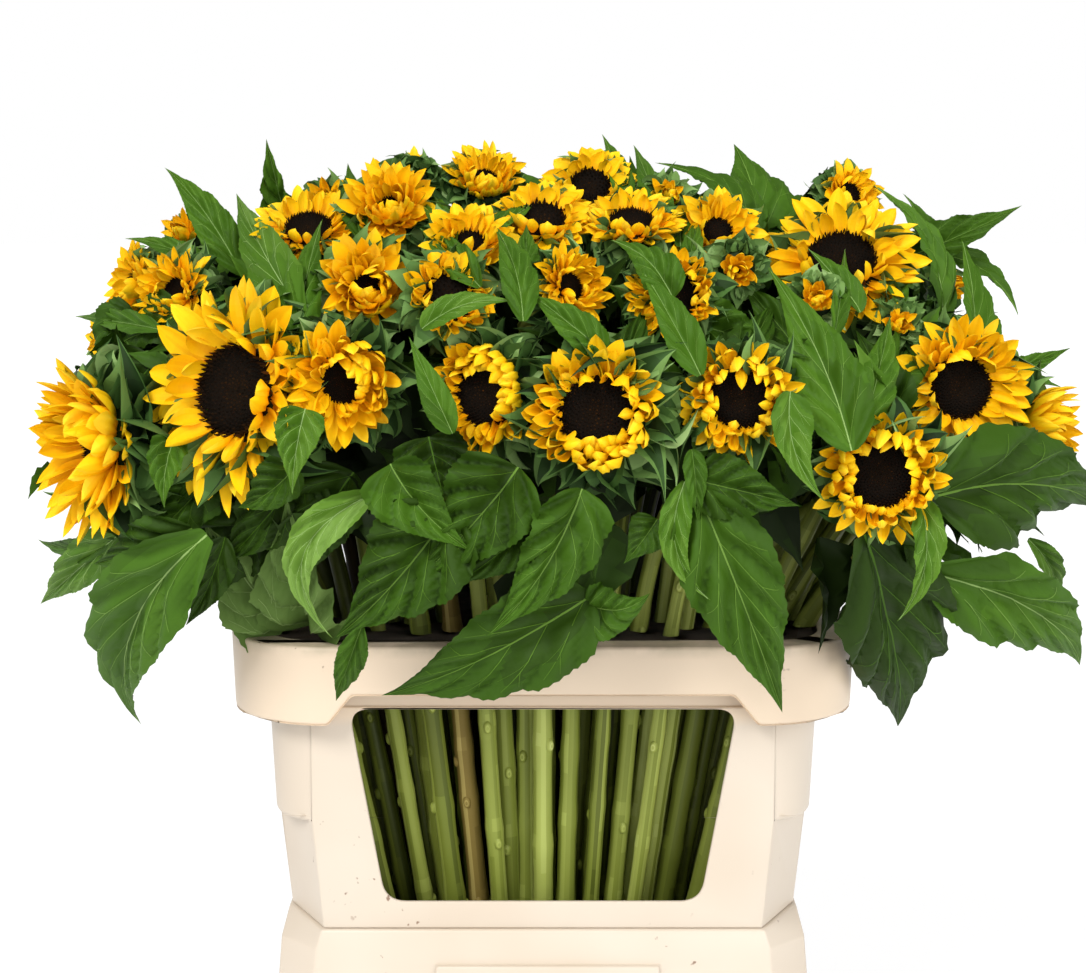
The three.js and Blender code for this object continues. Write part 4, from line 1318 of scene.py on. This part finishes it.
# Rows and columns of points in a petal or bract, and florets in a disc
NEAR_PETAL, FAR_PETAL, SMALL_PETAL = (11, 7), (8, 5), (7, 5)
LARGE_BRACT, SMALL_BRACT = (9, 5), (7, 3)
NEAR_FLORETS, FAR_FLORETS, SMALL_FLORETS = 380, 200, 100
FEWER = 0.72               # share of a style's petals that a small bloom has


def build_blooms(large, small, replaced):
    reseed(41)
    petal_paints = ramp("petal", PETALS, 0.6, 0.15)
    large_petals = Pile("petals_large", "bloom", petal_paints)
    small_petals = Pile("petals_small", "bloom", petal_paints)
    discs = Pile("discs", "bloom", ramp("disc", DISCS, 0.85, 0.1))
    bracts = Pile("bracts", "foliage", ramp("bract", BRACTS, 0.6, 0.15))
    for bloom in large:
        near = bloom["near"]
        add_petals(large_petals, bloom, *(NEAR_PETAL if near else FAR_PETAL))
        add_disc(discs, bloom, NEAR_FLORETS if near else FAR_FLORETS)
        add_cup(bracts, bloom)
        add_bracts(bracts, bloom, *LARGE_BRACT)
    for bloom in small:
        add_petals(small_petals, bloom, *SMALL_PETAL, FEWER)
        add_disc(discs, bloom, SMALL_FLORETS)
        add_cup(bracts, bloom)
        add_bracts(bracts, bloom, *SMALL_BRACT)
    large_petals.build(replaced)
    small_petals.build()
    discs.build()
    bracts.build()


# Brightness of a stem by its depth at the window's level, which is painted light
# and shade: lighter by the window, darker deeper in the container; and its radius
# by the width of its bloom
STEM_DEPTHS, STEM_PAINTED_LIGHT = [-95, -55, 0], [0.70, 0.44, 0.28]
LEAST_RADIUS, RADIUS_BY_WIDTH = 4.6, 0.036


def build_stems(blooms, paths, replaced):
    """The stems, lighter towards the window and darker deeper in: painted light and shade."""
    reseed(53)
    paints = ramp("stem", STEMS, 0.5, 0.3) + ramp("stem_brown", BROWN_STEMS, 0.6, 0.2)
    stalks = Pile("stems", "stem", paints)
    for k, (bloom, path) in enumerate(zip(blooms, paths)):
        depth = at_height(path, WINDOW_LEVEL)[1]
        # Painted shade: a stem deeper in the container gets a darker green
        light = np.interp(depth, STEM_DEPTHS, STEM_PAINTED_LIGHT) + rng.normal(0, 0.11)
        radius = (LEAST_RADIUS + RADIUS_BY_WIDTH * bloom["width"]) * rng.uniform(0.88, 1.1)
        add_stem(stalks, path, radius, light, STEPS if k % BROWN_EVERY == 5 else 0)
    for path in end_stems():
        add_stem(stalks, path, rng.uniform(7.0, 9.0), rng.uniform(0.5, 0.7))
    stalks.build(replaced)


# Rows and columns of points in a leaf blade of each kind
LARGE_GRID, STEM_LEAF_GRID, UNDER_GRID, SHELL_GRID = (49, 15), (15, 7), (21, 7), (11, 5)


def build_large_leaves(paints, replaced):
    reseed(67)
    placed = Pile("leaves_large", "foliage", paints)
    under = [row for row in HANGING_LEAVES if row[10] == "under"]
    hanging = [row for row in HANGING_LEAVES if row[10] != "under"]
    for rows, hidden in ((hanging, 0.0), (CROWN_LEAVES, 0.25)):
        leaves = placed_leaves(rows, hidden)
        tones = [TONES[row[10]] for row in rows]
        add_leaves(placed, leaves, tones, *LARGE_GRID, veins=0.34)
    add_leaves(placed, placed_leaves(under), 0.4, *LARGE_GRID, first=STEPS, veins=0.5)
    placed.build(replaced)


def build_filler_leaves(paints, blooms, stems, thin):
    """Leaves on the stems, and leaves low round the sides and back."""
    reseed(71)
    filler = Pile("leaves_filler", "foliage", paints)
    for paths, each, low, size in ((stems, 6, 0.25, 74), (thin, 5, 0.35, 60)):
        leaves, anchors = stem_leaves(paths, each, low, size)
        free = clear_of(leaves, blooms) & within_crown(leaves)
        leaves.keep(free)
        add_leaves(filler, leaves, rng.uniform(0.2, 0.52, len(leaves.start)), *STEM_LEAF_GRID,
                   veins=0.15)
        add_petioles(filler, leaves, anchors[free], pick(0.5))
    for count, lowest in ((48, 460), (26, 425)):
        leaves = under_leaves(count, lowest)
        add_leaves(filler, leaves, rng.uniform(0.15, 0.45, count), *UNDER_GRID, veins=0.2)
    filler.build()


def build_inner_leaves(paints, blooms):
    """Three layers that fill the crown, from its dark inside to its surface; the two inner layers
    take the darkest greens as painted shade of the crown's inside.
    """
    reseed(83)
    crowd = Pile("leaves_inner", "foliage", paints)
    # Painted shade: the core and inner leaves are given the darkest greens for the shade inside
    # the crown
    core = shell_leaves(170, 440, (0.58, 0.72), 84, (0.5, 0.7), 0.0)
    add_leaves(crowd, core, rng.uniform(0.05, 0.25, len(core.start)), *SHELL_GRID)
    inner = shell_leaves(420, 455, (0.76, 0.90), 62, (0.45, 0.62), 0.0)
    inner.keep(clear_of(inner, blooms))
    add_leaves(crowd, inner, rng.uniform(0.1, 0.36, len(inner.start)), *SHELL_GRID)
    outer = shell_leaves(900, 470, (0.86, 0.98), 40, (0.3, 0.5), 0.45)
    outer.keep(clear_of(outer, blooms) & within_crown(outer, 1.05))
    add_leaves(crowd, outer, rng.uniform(0.28, 0.66, len(outer.start)), *SHELL_GRID)
    crowd.build()


def build_plant(nodes):
    large, stems = packed_blooms(nodes)
    small = small_blooms()
    thin = small_stems(small, stems)
    stood_for = {kind: [n for n in nodes if n.startswith(kind)]
                 for kind in ("bloom_", "stem_", "foliage_")}
    build_blooms(large, small, stood_for["bloom_"])
    build_stems(large + small, stems + thin, stood_for["stem_"])
    paints = ramp("leaf", GREENS, 0.58, 0.14) + ramp("underside", UNDERSIDES, 0.7, 0.1)
    build_large_leaves(paints, stood_for["foliage_"])
    build_filler_leaves(paints, large + small, stems, thin)
    build_inner_leaves(paints, large + small)


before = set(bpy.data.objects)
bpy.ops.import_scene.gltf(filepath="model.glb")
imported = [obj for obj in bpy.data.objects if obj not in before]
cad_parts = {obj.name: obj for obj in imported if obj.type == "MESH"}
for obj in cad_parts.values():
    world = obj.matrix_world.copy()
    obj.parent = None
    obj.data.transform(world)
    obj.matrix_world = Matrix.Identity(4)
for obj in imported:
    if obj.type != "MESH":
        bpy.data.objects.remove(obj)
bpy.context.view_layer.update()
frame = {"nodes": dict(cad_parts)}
add_camera()
build_stage()
build_container()
build_plant(frame["nodes"])
